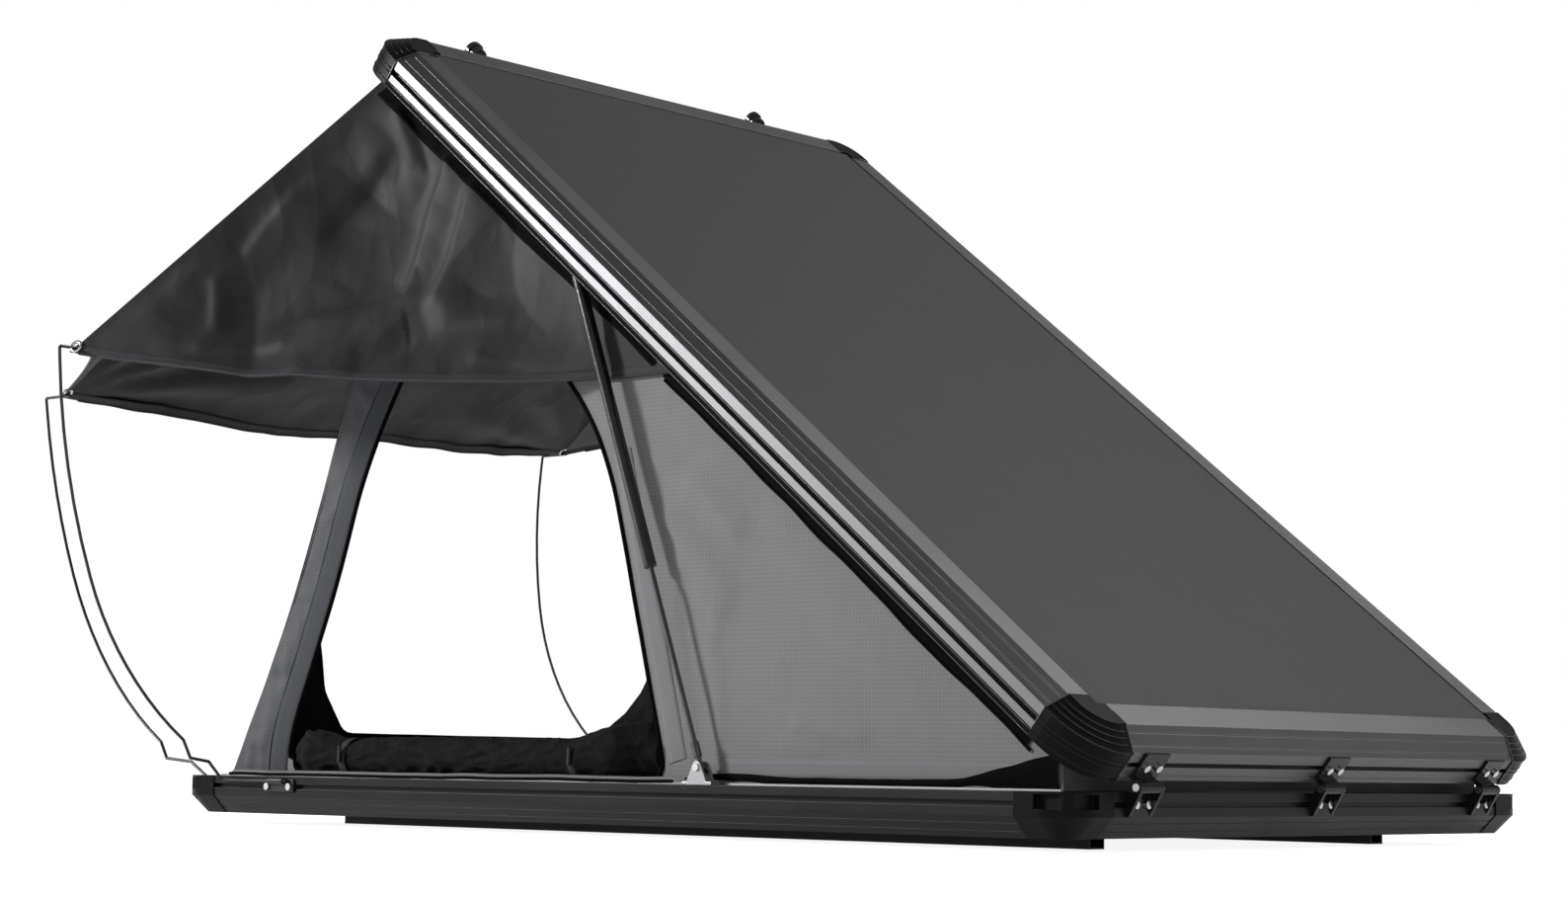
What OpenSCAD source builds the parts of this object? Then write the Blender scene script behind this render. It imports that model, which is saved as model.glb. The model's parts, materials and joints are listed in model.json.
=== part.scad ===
// Hard shell roof top tent, shown open: a tray on two roof rails and a lid that
// tips up on three hinges, with fabric walls, rolled doors and a poled awning.
// X runs from the open end (-X) to the hinge end (+X), Y from the near side to
// the far side, Z up from the underside of the roof rails. Sizes in millimetres.

/* [Shell] */
// Overall length over the corner castings
shell_l = 2130; // [1900:5:2400]
// Overall width over the corner castings
shell_w = 1360; // [1160:5:1500]
// Angle of the open lid above the tray
lid_angle = 38.5; // [32:0.5:44]
// Length of each leg of a corner casting
corner_leg = 105; // [98:1:130]
// How far the castings stand proud of the rails
corner_proud = 2; // [1:0.5:4]
// Gap between lid lip and tray when shut, filled by the seal
seal_gap = 4.5; // [3:0.5:8]

/* [Tray rails] */
// Height of the tray rail
base_h = 70; // [64:1:90]
// Height of its upright outer face
base_face_h = 37.5; // [34:0.5:46]
// How far its lower chamfer runs inwards
base_run = 32; // [24:1:40]
// Width of the flat top of the rail
base_rail_w = 62; // [60:1:80]
// Width of the ledge that carries the floor
base_ledge_w = 16; // [10:1:30]
// Thickness of the ledge and of the rail walls
base_wall = 5; // [4:0.5:7]
// Outer corner radius of the tray
base_corner_r = 60; // [50:1:80]
// Height of the windows in the tray castings
window_h = 22; // [10:1:26]
// Length of the windows in the tray castings
window_l = 50; // [20:1:54]
// Depth of the windows in the tray castings
window_d = 10; // [4:1:14]

/* [Lid rails] */
// Height of the lid rail from lip to top
lid_h = 77; // [72:1:100]
// Height of its upright outer face
lid_face_h = 52; // [48:1:56]
// How far its upper chamfer runs inwards
lid_run = 36.5; // [30:0.5:40]
// Distance from the rail face to the edge of the lid panel
lid_flange_w = 86; // [80:1:100]
// Thickness of the upright skirt of the lid rail
lid_skirt_t = 20; // [18:0.5:24]
// Thickness of the ledge under the lid panel
lid_ledge_t = 4; // [3:0.5:5]
// Outer corner radius of the lid
lid_corner_r = 88; // [86:1:97]

/* [T-slots] */
// Height of the slot mouth
slot_mouth = 8.4; // [8.2:0.2:10]
// Depth of the lip behind the mouth
slot_lip = 3; // [2:0.5:4]
// Height of the wide part of the slot
slot_wide = 15; // [13:0.5:17]
// Full depth of the slot
slot_deep = 9; // [7:0.5:11]
// Slot centre below the tray top
base_slot_down = 18.5; // [16:0.5:20]
// Slot centre above the lid lip
lid_slot_up = 29.5; // [27:0.5:33]

/* [Panels and mattress] */
// Thickness of the floor panel
floor_t = 12; // [8:1:16]
// Thickness of the lid panel
lid_panel_t = 6; // [4:0.5:7]
// Drop of the lid panel below the lid frame
lid_panel_drop = 2; // [1:0.5:3]
// Thickness of the lining under the lid panel
liner_t = 8; // [4:1:12]
// Thickness of the mattress at its crown
mattress_t = 56; // [40:1:60]
// Gap around the mattress
mattress_gap = 18; // [8:1:60]
// Assembly gap around the panels
panel_gap = 1; // [0.5:0.5:2]

/* [Roof rails] */
// Width of a roof rail
rail_w = 40; // [34:1:60]
// Height of a roof rail
rail_h = 25; // [20:1:40]
// Length of a roof rail
rail_l = 1780; // [1400:10:1850]
// Distance between the rail centres
rail_span = 830; // [700:5:950]
// Offset of the rails towards the hinge end
rail_shift = 28; // [0:1:60]
// Wall of the rail tube
rail_wall = 3; // [2:0.5:4]
// Distance between the clamp slots of one rail
clamp_span = 1000; // [600:10:1200]
// Width of a clamp slot
clamp_slot_w = 9; // [7:0.5:11]
// Length of a clamp slot
clamp_slot_l = 60; // [30:1:90]
// Radius of the floor bolts
floor_bolt_r = 4; // [3:0.5:5]

/* [Hinges] */
// Hinge axis outboard of the rail face
hinge_out = 20; // [18:0.5:24]
// Hinge axis above the tray top
hinge_up = 7; // [6:0.5:8]
// Middle of the outer hinges, in from the rail face
hinge_in = 168; // [128:1:278]
// Width of a hinge
hinge_w = 60; // [50:1:80]
// Thickness of the hinge leaves
leaf_t = 5; // [4:0.5:6]
// Height of the upper leaf
leaf_h = 46; // [42:1:50]
// Radius of the knuckles
knuckle_r = 9; // [8:0.5:10]
// Thickness of the two lower ears
ear_t = 7; // [5:0.5:9]
// Radius of the hinge pin
pin_r = 4; // [3:0.5:5]
// Running clearance of pins and sliding rods
run_clear = 0.05; // [0.03:0.01:0.08]
// Radius of the bolt heads
bolt_head_r = 6.5; // [5:0.5:8]
// Height of the bolt heads
bolt_head_h = 5; // [3:0.5:7]
// Radius of the bolt shanks
bolt_r = 3.9; // [3:0.1:4]
// Clearance of a bolt in its hole
bolt_clear = 0.2; // [0.1:0.1:0.5]

/* [Gas struts] */
// Foot pivot of the struts along X
strut_foot_x = 285; // [150:1:400]
// Foot pivot above the tray top
strut_foot_up = 28; // [24:1:34]
// Lid pivot of the struts, measured from the hinge axis
strut_lid_u = 1490; // [1430:1:1560]
// Lid pivot above the hinge axis
strut_lid_v = 35; // [30:1:42]
// Distance of the struts from the rail face
strut_in = 35; // [34:0.5:36]
// Radius of the strut tube
tube_r = 11; // [9:0.5:12]
// Wall of the strut tube
tube_wall = 2; // [1.5:0.5:3]
// Length of tube from the lid pivot to its collar
tube_l = 640; // [560:1:650]
// Length of the guide collar
collar_l = 30; // [20:1:40]
// Radius of the piston rod
piston_rod_r = 4.5; // [3.5:0.5:6]
// Length of the piston rod from the foot pivot
piston_rod_l = 440; // [410:1:500]
// Half width of the flat eyes
eye_half = 6; // [5:0.5:7]
// Radius of the eyes
eye_r = 10; // [8:0.5:10.5]
// Side gap between eye and bracket
eye_gap = 0.4; // [0.3:0.1:1]
// Length of the foot flange
foot_l = 66; // [56:1:90]
// Thickness of the strut brackets
bracket_t = 4.5; // [3:0.5:5]

/* [Awning poles] */
// Radius of the spring steel poles
pole_r = 3; // [2:0.5:4]
// Foot of the side poles, from the open end
side_pole_in = 143; // [113:1:213]
// Foot of the end poles, in from the side
end_pole_in = 78; // [58:1:118]
// Height of the side pole hooks above the tray
side_pole_h = 790; // [700:5:850]
// Height of the end pole hooks above the tray
end_pole_h = 768; // [700:5:850]
// Reach of the side poles from the rail face
side_pole_out = 363; // [300:1:420]
// Reach of the end poles from the rail face
end_pole_out = 466; // [400:1:520]
// Inward length of the side pole hooks
side_hook = 46; // [36:1:60]
// Inward length of the end pole hooks
end_hook = 82; // [60:1:95]
// Sideways tilt of the side poles
side_tilt = 5; // [0:0.5:8]
// Sideways tilt of the end poles
end_tilt = 7.4; // [0:0.1:9]
// Length of the side pole legs
side_leg = 189; // [175:1:200]
// Length of the end pole legs
end_leg = 112; // [105:1:120]
// Length of the pole holder plate
holder_l = 84; // [74:1:100]
// Length of the pole holder tube
holder_tube_l = 56; // [40:1:70]
// Wall of the pole holder tube
holder_wall = 3; // [2:0.5:4]

/* [Latches] */
// Middle of the latches, in from the side
latch_in = 278; // [238:1:428]
// Width of a latch plate
latch_w = 76; // [60:1:80]
// Latch pivot outboard of the lid face
latch_out = 15; // [14:0.5:17]
// Latch pivot above the lid lip
latch_up = 20; // [18:0.5:22]
// Outward rest angle of the latch levers
latch_rest = 10; // [8:1:20]
// Radius of the latch pins
latch_pin_r = 3; // [2:0.5:4]
// Radius of the latch knobs
knob_r = 18; // [14:0.5:20]
// Reach of the latch knobs from the lid face
knob_out = 34; // [26:1:40]
// Middle of the latch knobs below the lid top
knob_down = 20; // [17:0.5:22]

/* [Fabric] */
// Wall line inside the rail face
wall_in = 57; // [56:0.5:58]
// Thickness of the fabric walls
cloth_t = 2; // [1.5:0.5:3]
// Foot of the front wall from the open end
front_foot = 105; // [90:1:130]
// Width of the corner strip before the side door
pillar_w = 158; // [120:1:200]
// Foot of the side door towards the hinge end
door_rear = 222; // [150:1:235]
// Lean of the rear edge of the side door
door_lean = 23.6; // [15:0.1:28]
// Side door top below the lid lip
door_drop = 130; // [90:1:180]
// Corner radius of the doors
door_r = 90; // [40:1:120]
// Half width of the front door
front_door_half = 460; // [350:1:500]
// Sill of the front door above the tray
front_sill = 86; // [84:1:140]
// Height of the front door along the slope
front_door_h = 1010; // [700:5:1050]
// Height of a rolled door
roll_d = 76; // [60:1:80]
// Clear gap of soft pieces from their seats
soft_gap = 0.3; // [0.3:0.1:0.6]
// Distance between the two ties
tie_pitch = 605; // [400:5:650]
// Width of a tie band
tie_w = 18; // [10:1:24]
// Height of the keder rail
keder_h = 3; // [2:0.5:4]
// Width of the keder rail
keder_w = 4; // [3:0.5:5]
// End of the awning wing from the hinge axis
wing_u = 1092; // [900:5:1200]
// Hem sag of the awning wings
wing_sag = 28; // [0:1:60]
// Hem sag of the awning front
front_sag = 22; // [0:1:50]
// Depth of the awning folds
fold_d = 9; // [0:1:14]
// Radius of the eyelet holes
eyelet_r = 11; // [9:0.5:13]

/* [Hidden] */
$fn = 48;
face_l = shell_l - 2 * corner_proud;
face_w = shell_w - 2 * corner_proud;
hl = face_l / 2;
hw = face_w / 2;
hinge_pitch = hw - hinge_in;
side_pole_x = hl - side_pole_in;
end_pole_y = hw - end_pole_in;
latch_y = hw - latch_in;
base_z = rail_h - base_wall;
top_z = base_z + base_h;
base_chamfer_h = base_h - base_face_h;
xh = hl + hinge_out;
zh = top_z + hinge_up;
lip_z = top_z + seal_gap;
lip_v = lip_z - zh;
lid_under = lid_h - lid_panel_drop - lid_panel_t - lid_ledge_t;
ca = cos(lid_angle);
sa = sin(lid_angle);
slot_z = top_z - base_slot_down;
floor_z = base_z + base_wall;
mattress_z = floor_z + floor_t;
wall_foot = top_z + soft_gap;
front_x = -hl + front_foot;
wall_top_v = lip_v + lid_under - 7;
keder_in = wall_in - keder_w - 1;
lid_ledge_end = corner_leg - panel_gap;

function lid_pt(u, v) = [xh - u * ca + v * sa, zh + u * sa + v * ca];
function lid_pt3(u, v, y) = [xh - u * ca + v * sa, y, zh + u * sa + v * ca];

wall_end_u = 2 * hl + hinge_out - 88;
wall_top = lid_pt(wall_end_u, wall_top_v);
front_lean = atan((wall_top[0] - front_x) / (wall_top[1] - wall_foot));
end_wall_x = hl - base_rail_w;

// Carries its children from the shut lid to the open lid
module lid_place() {
    translate([xh, 0, zh])
        rotate([0, lid_angle, 0])
            translate([-xh, 0, -zh])
                children();
}

// Section drawn as (inwards, up), run along the near side between x0 and x1
module near_run(x0, x1, z) {
    translate([x0, -hw, z])
        rotate([90, 0, 90])
            linear_extrude(x1 - x0)
                children();
}

// The same section along the hinge end between y0 and y1
module hinge_run(y0, y1, z) {
    rotate([0, 0, 90])
        translate([y0, -hl, z])
            rotate([90, 0, 90])
                linear_extrude(y1 - y0)
                    children();
}

// Quarter turn of the section round the near hinge corner
module corner_turn(r, z) {
    translate([hl - r, -hw + r, z])
        rotate([0, 0, -90])
            rotate_extrude(angle = 90)
                translate([r, 0])
                    mirror([1, 0])
                        children();
}

// One shape at all four corners
module four_corners() {
    for (mx = [0, 1])
        for (my = [0, 1])
            mirror([mx, 0, 0])
                mirror([0, my, 0])
                    children();
}

// One shape at both sides
module both_sides() {
    for (my = [0, 1])
        mirror([0, my, 0])
            children();
}

module slot_cut(up) {
    translate([-1, up - slot_mouth / 2])
        square([slot_lip + 1.01, slot_mouth]);
    translate([slot_lip, up - slot_wide / 2])
        square([slot_deep - slot_lip, slot_wide]);
}

module base_section() {
    inner = slot_deep + base_wall;
    difference() {
        polygon([[base_run, 0], [0, base_chamfer_h], [0, base_h],
            [base_rail_w, base_h], [base_rail_w, base_wall],
            [base_rail_w + base_ledge_w, base_wall], [base_rail_w + base_ledge_w, 0]]);
        polygon([[inner, base_h - base_wall], [base_rail_w - base_wall, base_h - base_wall],
            [base_rail_w - base_wall, base_wall], [base_run + base_wall, base_wall],
            [inner, base_chamfer_h]]);
        slot_cut(base_h - base_slot_down);
        for (f = [0.3, 0.68])
            translate([base_run * f, base_chamfer_h * (1 - f)])
                circle(1.3);
    }
}

module base_rail_n() {
    near_run(-hl + corner_leg, hl - corner_leg, base_z)
        base_section();
}

module base_rail_h() {
    hinge_run(-hw + corner_leg, hw - corner_leg, base_z)
        base_section();
}

module base_rail_near() {
    color("#1d1e20")
        base_rail_n();
}

module base_rail_far() {
    color("#1d1e20")
        mirror([0, 1, 0])
            base_rail_n();
}

module base_rail_hinge() {
    color("#1d1e20")
        base_rail_h();
}

module base_rail_open() {
    color("#1d1e20")
        mirror([1, 0, 0])
            base_rail_h();
}

module base_corner_section() {
    w = base_corner_r - 2;
    polygon([[base_run - corner_proud, 0], [-corner_proud, base_chamfer_h],
        [-corner_proud, base_h], [w, base_h], [w, 0]]);
}

module base_corner_one() {
    cut = window_d + corner_proud + 1;
    w0 = base_corner_r - 42;
    difference() {
        union() {
            corner_turn(base_corner_r, base_z)
                base_corner_section();
            near_run(hl - corner_leg, hl - base_corner_r, base_z)
                base_corner_section();
            hinge_run(-hw + base_corner_r, -hw + corner_leg, base_z)
                base_corner_section();
        }
        translate([hl - w0 - window_l, -hw - corner_proud - 1, top_z - 4 - window_h])
            cube([window_l, cut, window_h]);
        translate([hl + corner_proud + 1 - cut, -hw + w0, top_z - 4 - window_h])
            cube([cut, window_l, window_h]);
    }
}

module base_corners() {
    color("#26272a")
        four_corners()
            base_corner_one();
}

module bolt_spots() {
    for (x = [-0.38, -0.12, 0.12, 0.38])
        both_sides()
            translate([rail_shift + x * rail_l, -rail_span / 2, 0])
                children();
}

module base_floor() {
    l = face_l - 2 * (base_rail_w + panel_gap);
    w = face_w - 2 * (base_rail_w + panel_gap);
    color("#b9bbbd")
        difference() {
            translate([-l / 2, -w / 2, floor_z])
                cube([l, w, floor_t]);
            bolt_spots()
                translate([0, 0, floor_z - 1])
                    cylinder(r = floor_bolt_r + bolt_clear, h = floor_t + 2);
        }
}

module mount_rail() {
    color("#17181a")
        difference() {
            translate([rail_shift - rail_l / 2, -rail_span / 2 - rail_w / 2, 0])
                cube([rail_l, rail_w, rail_h]);
            translate([rail_shift - rail_l / 2 - 1, -rail_span / 2 - rail_w / 2 + rail_wall,
                rail_wall])
                cube([rail_l + 2, rail_w - 2 * rail_wall, rail_h - 2 * rail_wall]);
            for (x = [-clamp_span / 2, clamp_span / 2])
                translate([x, -rail_span / 2, -1]) {
                    translate([-(clamp_slot_l - clamp_slot_w) / 2, -clamp_slot_w / 2, 0])
                        cube([clamp_slot_l - clamp_slot_w, clamp_slot_w, rail_wall + 2]);
                    for (e = [-1, 1])
                        translate([e * (clamp_slot_l - clamp_slot_w) / 2, 0, 0])
                            cylinder(d = clamp_slot_w, h = rail_wall + 2);
                }
            for (x = [-0.38, -0.12, 0.12, 0.38])
                translate([rail_shift + x * rail_l, -rail_span / 2, rail_h - rail_wall - 1])
                    cylinder(r = floor_bolt_r + bolt_clear, h = rail_wall + 2);
        }
}

module mount_rail_near() {
    mount_rail();
}

module mount_rail_far() {
    mirror([0, 1, 0])
        mount_rail();
}

module floor_bolts() {
    head = floor_bolt_r + 3;
    color("#a9acb0")
        bolt_spots() {
            translate([0, 0, rail_h - rail_wall])
                cylinder(r = floor_bolt_r, h = rail_wall + floor_t);
            translate([0, 0, rail_h - rail_wall - 4])
                cylinder(r = head, h = 4);
        }
}

// One ring of the mattress, drawn in between its corners
function mat_ring(inset, z, n) = let (
    ax = hl - base_rail_w - mattress_gap - inset,
    ay = hw - base_rail_w - mattress_gap - inset)
    [for (i = [0:n - 1]) let (
        a = 360 * i / n + 360 / n / 2,
        c = cos(a),
        s = sin(a),
        m = pow(pow(abs(c), 14) + pow(abs(s), 14), -1 / 14),
        pull = 9 * pow(abs(sin(2 * a)), 2) - 9)
        [(ax + pull) * c * m, (ay + pull) * s * m, z]];

module ring_stack(rings) {
    n = len(rings[0]);
    k = len(rings);
    points = [for (r = rings) for (p = r) p];
    sides = [for (j = [0:k - 2]) for (i = [0:n - 1]) let (
        a = j * n + i,
        b = j * n + (i + 1) % n)
        each [[a, a + n, b], [b, a + n, b + n]]];
    bottom = [for (i = [1:n - 2]) [0, i, i + 1]];
    top = [for (i = [1:n - 2]) [(k - 1) * n, (k - 1) * n + i + 1, (k - 1) * n + i]];
    polyhedron(points = points, faces = concat(sides, bottom, top));
}

module mattress() {
    n = 64;
    t = mattress_t;
    z = mattress_z;
    color("#56595e")
        ring_stack([mat_ring(0.18 * t, z, n), mat_ring(0, z + 0.16 * t, n),
            mat_ring(0.07 * t, z + 0.45 * t, n), mat_ring(0, z + 0.74 * t, n),
            mat_ring(0.21 * t, z + 0.88 * t, n), mat_ring(1.07 * t, z + 0.95 * t, n),
            mat_ring(4.3 * t, z + t, n)]);
}

module keder_rails() {
    color("#c4c7ca") {
        both_sides()
            translate([-hl + wall_in, -hw + keder_in, top_z])
                cube([2 * hl - 2 * wall_in, keder_w, keder_h]);
        translate([-hl + keder_in, -hw + wall_in, top_z])
            cube([keder_w, 2 * hw - 2 * wall_in, keder_h]);
    }
}

module at_hinges() {
    for (k = [-1, 0, 1])
        translate([0, k * hinge_pitch, 0])
            children();
}

leaf_x = hl + leaf_t;
hinge_bolt_y = hinge_w / 2 - ear_t - bolt_head_r - 1;

module y_cyl(r, y0, y1) {
    translate([0, y0, 0])
        rotate([-90, 0, 0])
            cylinder(r = r, h = y1 - y0);
}

module x_cyl(r, x0, x1) {
    translate([x0, 0, 0])
        rotate([0, 90, 0])
            cylinder(r = r, h = x1 - x0);
}

module base_leaf() {
    plate_top = top_z - 2;
    plate_bot = slot_z - bolt_head_r - 12;
    difference() {
        union() {
            translate([hl, -hinge_w / 2, plate_bot])
                cube([leaf_t, hinge_w, plate_top - plate_bot]);
            both_sides()
                translate([0, hinge_w / 2, 0])
                    rotate([90, 0, 0])
                        linear_extrude(ear_t) {
                            translate([xh, zh])
                                circle(knuckle_r);
                            polygon([[leaf_x - 1, plate_bot], [xh + knuckle_r * 0.72, zh - knuckle_r * 0.69],
                                [xh - knuckle_r * 0.69, zh + knuckle_r * 0.72], [leaf_x - 1, plate_top]]);
                        }
        }
        translate([xh, 0, zh])
            y_cyl(pin_r + run_clear, -hinge_w, hinge_w);
        both_sides()
            translate([0, hinge_bolt_y, slot_z])
                x_cyl(bolt_r + bolt_clear, hl - 1, leaf_x + 1);
    }
}

module hinge_base_leaves() {
    color("#111214")
        at_hinges()
            base_leaf();
}

module lid_leaf() {
    inner = hinge_w / 2 - ear_t - 1;
    plate_z = zh + 5;
    difference() {
        union() {
            translate([hl, -hinge_w / 2, plate_z])
                cube([leaf_t, hinge_w, leaf_h]);
            translate([hl, -inner, zh])
                cube([hinge_out, 2 * inner, knuckle_r]);
            translate([xh, 0, zh])
                y_cyl(knuckle_r, -inner, inner);
        }
        translate([xh, 0, zh])
            y_cyl(pin_r + run_clear, -hinge_w, hinge_w);
        both_sides()
            translate([0, hinge_bolt_y, lip_z + lid_slot_up])
                x_cyl(bolt_r + bolt_clear, hl - 1, leaf_x + 1);
    }
}

module hinge_lid_leaves() {
    color("#111214")
        lid_place()
            at_hinges()
                lid_leaf();
}

module hinge_pins() {
    color("#c9ccd0")
        at_hinges()
            translate([xh, 0, zh]) {
                y_cyl(pin_r, -hinge_w / 2 - 2, hinge_w / 2);
                y_cyl(pin_r + 2, -hinge_w / 2 - 4, -hinge_w / 2);
                y_cyl(pin_r + 1.5, hinge_w / 2, hinge_w / 2 + 3);
            }
}

// A slot bolt whose head seats at depth d outside the rail face, pointing +X
module slot_bolt(d) {
    x_cyl(bolt_r, -slot_deep + 1, d);
    x_cyl(bolt_head_r, d, d + bolt_head_h);
}

holder_bolt = holder_l / 2 - 10;
holder_t = 4;
holder_d = holder_t + holder_wall + pole_r + run_clear;
side_holder_x = -(side_pole_x - side_leg + holder_tube_l / 2);
end_holder_y = end_pole_y - end_leg + holder_tube_l / 2;
holder_lift = bolt_head_r + pole_r + 1;
pole_drop = base_slot_down - holder_lift;
pole_z = slot_z + holder_lift;

// Children drawn on the hinge end face are carried to a side or to the open end
module on_near(x) {
    translate([x, -hw, 0])
        rotate([0, 0, -90])
            children();
}

module on_open(y) {
    translate([-hl, y, 0])
        rotate([0, 0, 180])
            children();
}

module base_bolts() {
    color("#c9ccd0") {
        at_hinges()
            both_sides()
                translate([hl, hinge_bolt_y, slot_z])
                    slot_bolt(leaf_t);
        for (e = [-1, 1]) {
            both_sides()
                on_near(side_holder_x + e * holder_bolt)
                    translate([0, 0, slot_z])
                        slot_bolt(holder_t);
            both_sides()
                on_open(-end_holder_y + e * holder_bolt)
                    translate([0, 0, slot_z])
                        slot_bolt(holder_t);
            both_sides()
                on_open(latch_y + e * latch_bolt)
                    translate([0, 0, slot_z])
                        slot_bolt(latch_t);
        }
    }
}

module lid_bolts() {
    color("#c9ccd0")
        lid_place() {
            at_hinges()
                both_sides()
                    translate([hl, hinge_bolt_y, lip_z + lid_slot_up])
                        slot_bolt(leaf_t);
            for (e = [-1, 1])
                both_sides()
                    on_open(latch_y + e * latch_bolt)
                        translate([0, 0, lip_z + lid_slot_up])
                            slot_bolt(latch_t);
        }
}

// Plate and tube of a pole holder on the hinge end face, tube along Y
module pole_holder() {
    plate_z = slot_z - bolt_head_r - 3;
    half = holder_tube_l / 2 - bolt_head_r;
    difference() {
        union() {
            translate([0, -holder_l / 2, plate_z])
                cube([holder_t, holder_l, pole_z + pole_r - plate_z]);
            translate([holder_d, 0, pole_z])
                y_cyl(holder_wall + pole_r, -half, half);
            translate([holder_t - 1, -half, pole_z - pole_r])
                cube([holder_wall + 1, 2 * half, 2 * pole_r]);
        }
        translate([holder_d, 0, pole_z])
            y_cyl(pole_r + run_clear, -holder_l, holder_l);
        for (e = [-1, 1])
            translate([0, e * holder_bolt, slot_z])
                x_cyl(bolt_r + bolt_clear, -1, holder_t + 1);
    }
}

module pole_holders() {
    color("#1b1c1e")
        both_sides() {
            on_near(side_holder_x)
                pole_holder();
            on_open(-end_holder_y)
                pole_holder();
        }
}

strut_y = -hw + strut_in;
foot_z = top_z + strut_foot_up;
ear_gap = eye_half + eye_gap;
eye_neck = 2.6 * eye_r;

module strut_foot() {
    difference() {
        union() {
            translate([strut_foot_x - foot_l / 2, strut_y - ear_gap - bracket_t, top_z])
                cube([foot_l, 2 * (ear_gap + bracket_t), bracket_t]);
            for (e = [0, 1])
                translate([0, strut_y, 0])
                    mirror([0, e, 0])
                        translate([0, ear_gap + bracket_t, 0])
                            rotate([90, 0, 0])
                                linear_extrude(bracket_t) {
                                    translate([strut_foot_x, foot_z])
                                        circle(eye_r);
                                    polygon([[strut_foot_x - 24, top_z + 1], [strut_foot_x + 24, top_z + 1],
                                        [strut_foot_x + eye_r * 0.94, foot_z + eye_r * 0.34],
                                        [strut_foot_x - eye_r * 0.94, foot_z + eye_r * 0.34]]);
                                }
        }
        translate([strut_foot_x, strut_y, foot_z])
            y_cyl(pin_r + run_clear, -2 * tube_r, 2 * tube_r);
    }
}

module strut_feet() {
    color("#c2c5c8")
        both_sides()
            strut_foot();
}

module strut_pins() {
    side = ear_gap + bracket_t;
    color("#8d9196")
        both_sides()
            translate([strut_foot_x, strut_y, foot_z]) {
                y_cyl(pin_r, -side - 1, side + 1);
                y_cyl(pin_r + 2, -side - 3, -side);
                y_cyl(pin_r + 2, side, side + 3);
            }
}

strut_lid = lid_pt(strut_lid_u, strut_lid_v);
strut_dx = strut_lid[0] - strut_foot_x;
strut_dz = strut_lid[1] - foot_z;
strut_len = sqrt(strut_dx * strut_dx + strut_dz * strut_dz);
strut_lean = atan2(strut_dx, strut_dz);

// Children drawn along Z from the foot pivot are leaned to the lid pivot
module strut_place(side) {
    translate([strut_foot_x, side * strut_y, foot_z])
        rotate([0, strut_lean, 0])
            children();
}

module strut_rod(side) {
    fit_l = eye_neck;
    strut_place(side)
        difference() {
            union() {
                y_cyl(eye_r, -eye_half, eye_half);
                translate([0, 0, eye_r + 8])
                    cylinder(r = piston_rod_r + 2.5, h = fit_l);
                cylinder(r = piston_rod_r, h = piston_rod_l);
                translate([0, 0, piston_rod_l - 12])
                    cylinder(r = tube_r - tube_wall - run_clear, h = 12);
            }
            y_cyl(pin_r + run_clear, -2 * tube_r, 2 * tube_r);
        }
}

module strut_tube(side) {
    z0 = strut_len - tube_l;
    z1 = strut_len - eye_neck;
    bore = piston_rod_r + run_clear;
    strut_place(side)
        difference() {
            union() {
                translate([0, 0, z0])
                    cylinder(r = tube_r, h = z1 - z0);
                translate([0, 0, z1 - 4])
                    cylinder(r = eye_half, h = eye_neck - eye_r * 0.5);
                translate([0, 0, strut_len])
                    y_cyl(eye_r, -eye_half, eye_half);
            }
            translate([0, 0, z0 - 1])
                cylinder(r = bore, h = collar_l + 2);
            translate([0, 0, z0 + collar_l])
                cylinder(r = tube_r - tube_wall, h = z1 - z0 - collar_l - 8);
            translate([0, 0, strut_len])
                y_cyl(pin_r + run_clear, -2 * tube_r, 2 * tube_r);
        }
}

module strut_rod_near() {
    color("#3a3c3f")
        strut_rod(1);
}

module strut_tube_near() {
    color("#0e0f10")
        strut_tube(1);
}

module strut_rod_far() {
    color("#3a3c3f")
        strut_rod(-1);
}

module strut_tube_far() {
    color("#0e0f10")
        strut_tube(-1);
}

// Angle bracket under the lid flange; its stud ends beside the strut eye
module strut_lid_bracket() {
    y0 = -hw + strut_in + tube_r + 1;
    x = xh - strut_lid_u;
    top = lip_z + lid_under;
    pz = zh + strut_lid_v;
    translate([x - 26, y0, top - bracket_t])
        cube([52, wall_in - strut_in - tube_r - 1.5, bracket_t]);
    translate([x, y0 + 4, 0])
        rotate([90, 0, 0])
            linear_extrude(4) {
                translate([0, pz])
                    circle(eye_r);
                polygon([[-eye_r * 0.94, pz - eye_r * 0.34], [eye_r * 0.94, pz - eye_r * 0.34],
                    [22, top - 1], [-22, top - 1]]);
            }
    translate([x, y0, pz])
        y_cyl(pin_r, -(tube_r + 1 - ear_gap), 1);
}

module strut_lid_brackets() {
    color("#2a2c2f")
        lid_place()
            both_sides()
                strut_lid_bracket();
}

latch_t = 4;
latch_bolt = latch_w / 2 - bolt_head_r - 1;
latch_ear_in = latch_w / 2 - 2 * bolt_head_r - 6;
latch_ear_t = 4;
latch_z = lip_z + latch_up;
latch_x = -hl - latch_out;
keeper_h = 2 * bolt_head_r + 11;
keeper_z = slot_z - keeper_h / 2;
hook_z = keeper_z - 0.6;
latch_hub_r = latch_pin_r + 3;
knob_z = lip_z + lid_h - knob_down;
knob_neck = 0.72 * knob_r;

module at_latches() {
    for (k = [-1, 1])
        translate([0, k * latch_y, 0])
            children();
}

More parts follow.
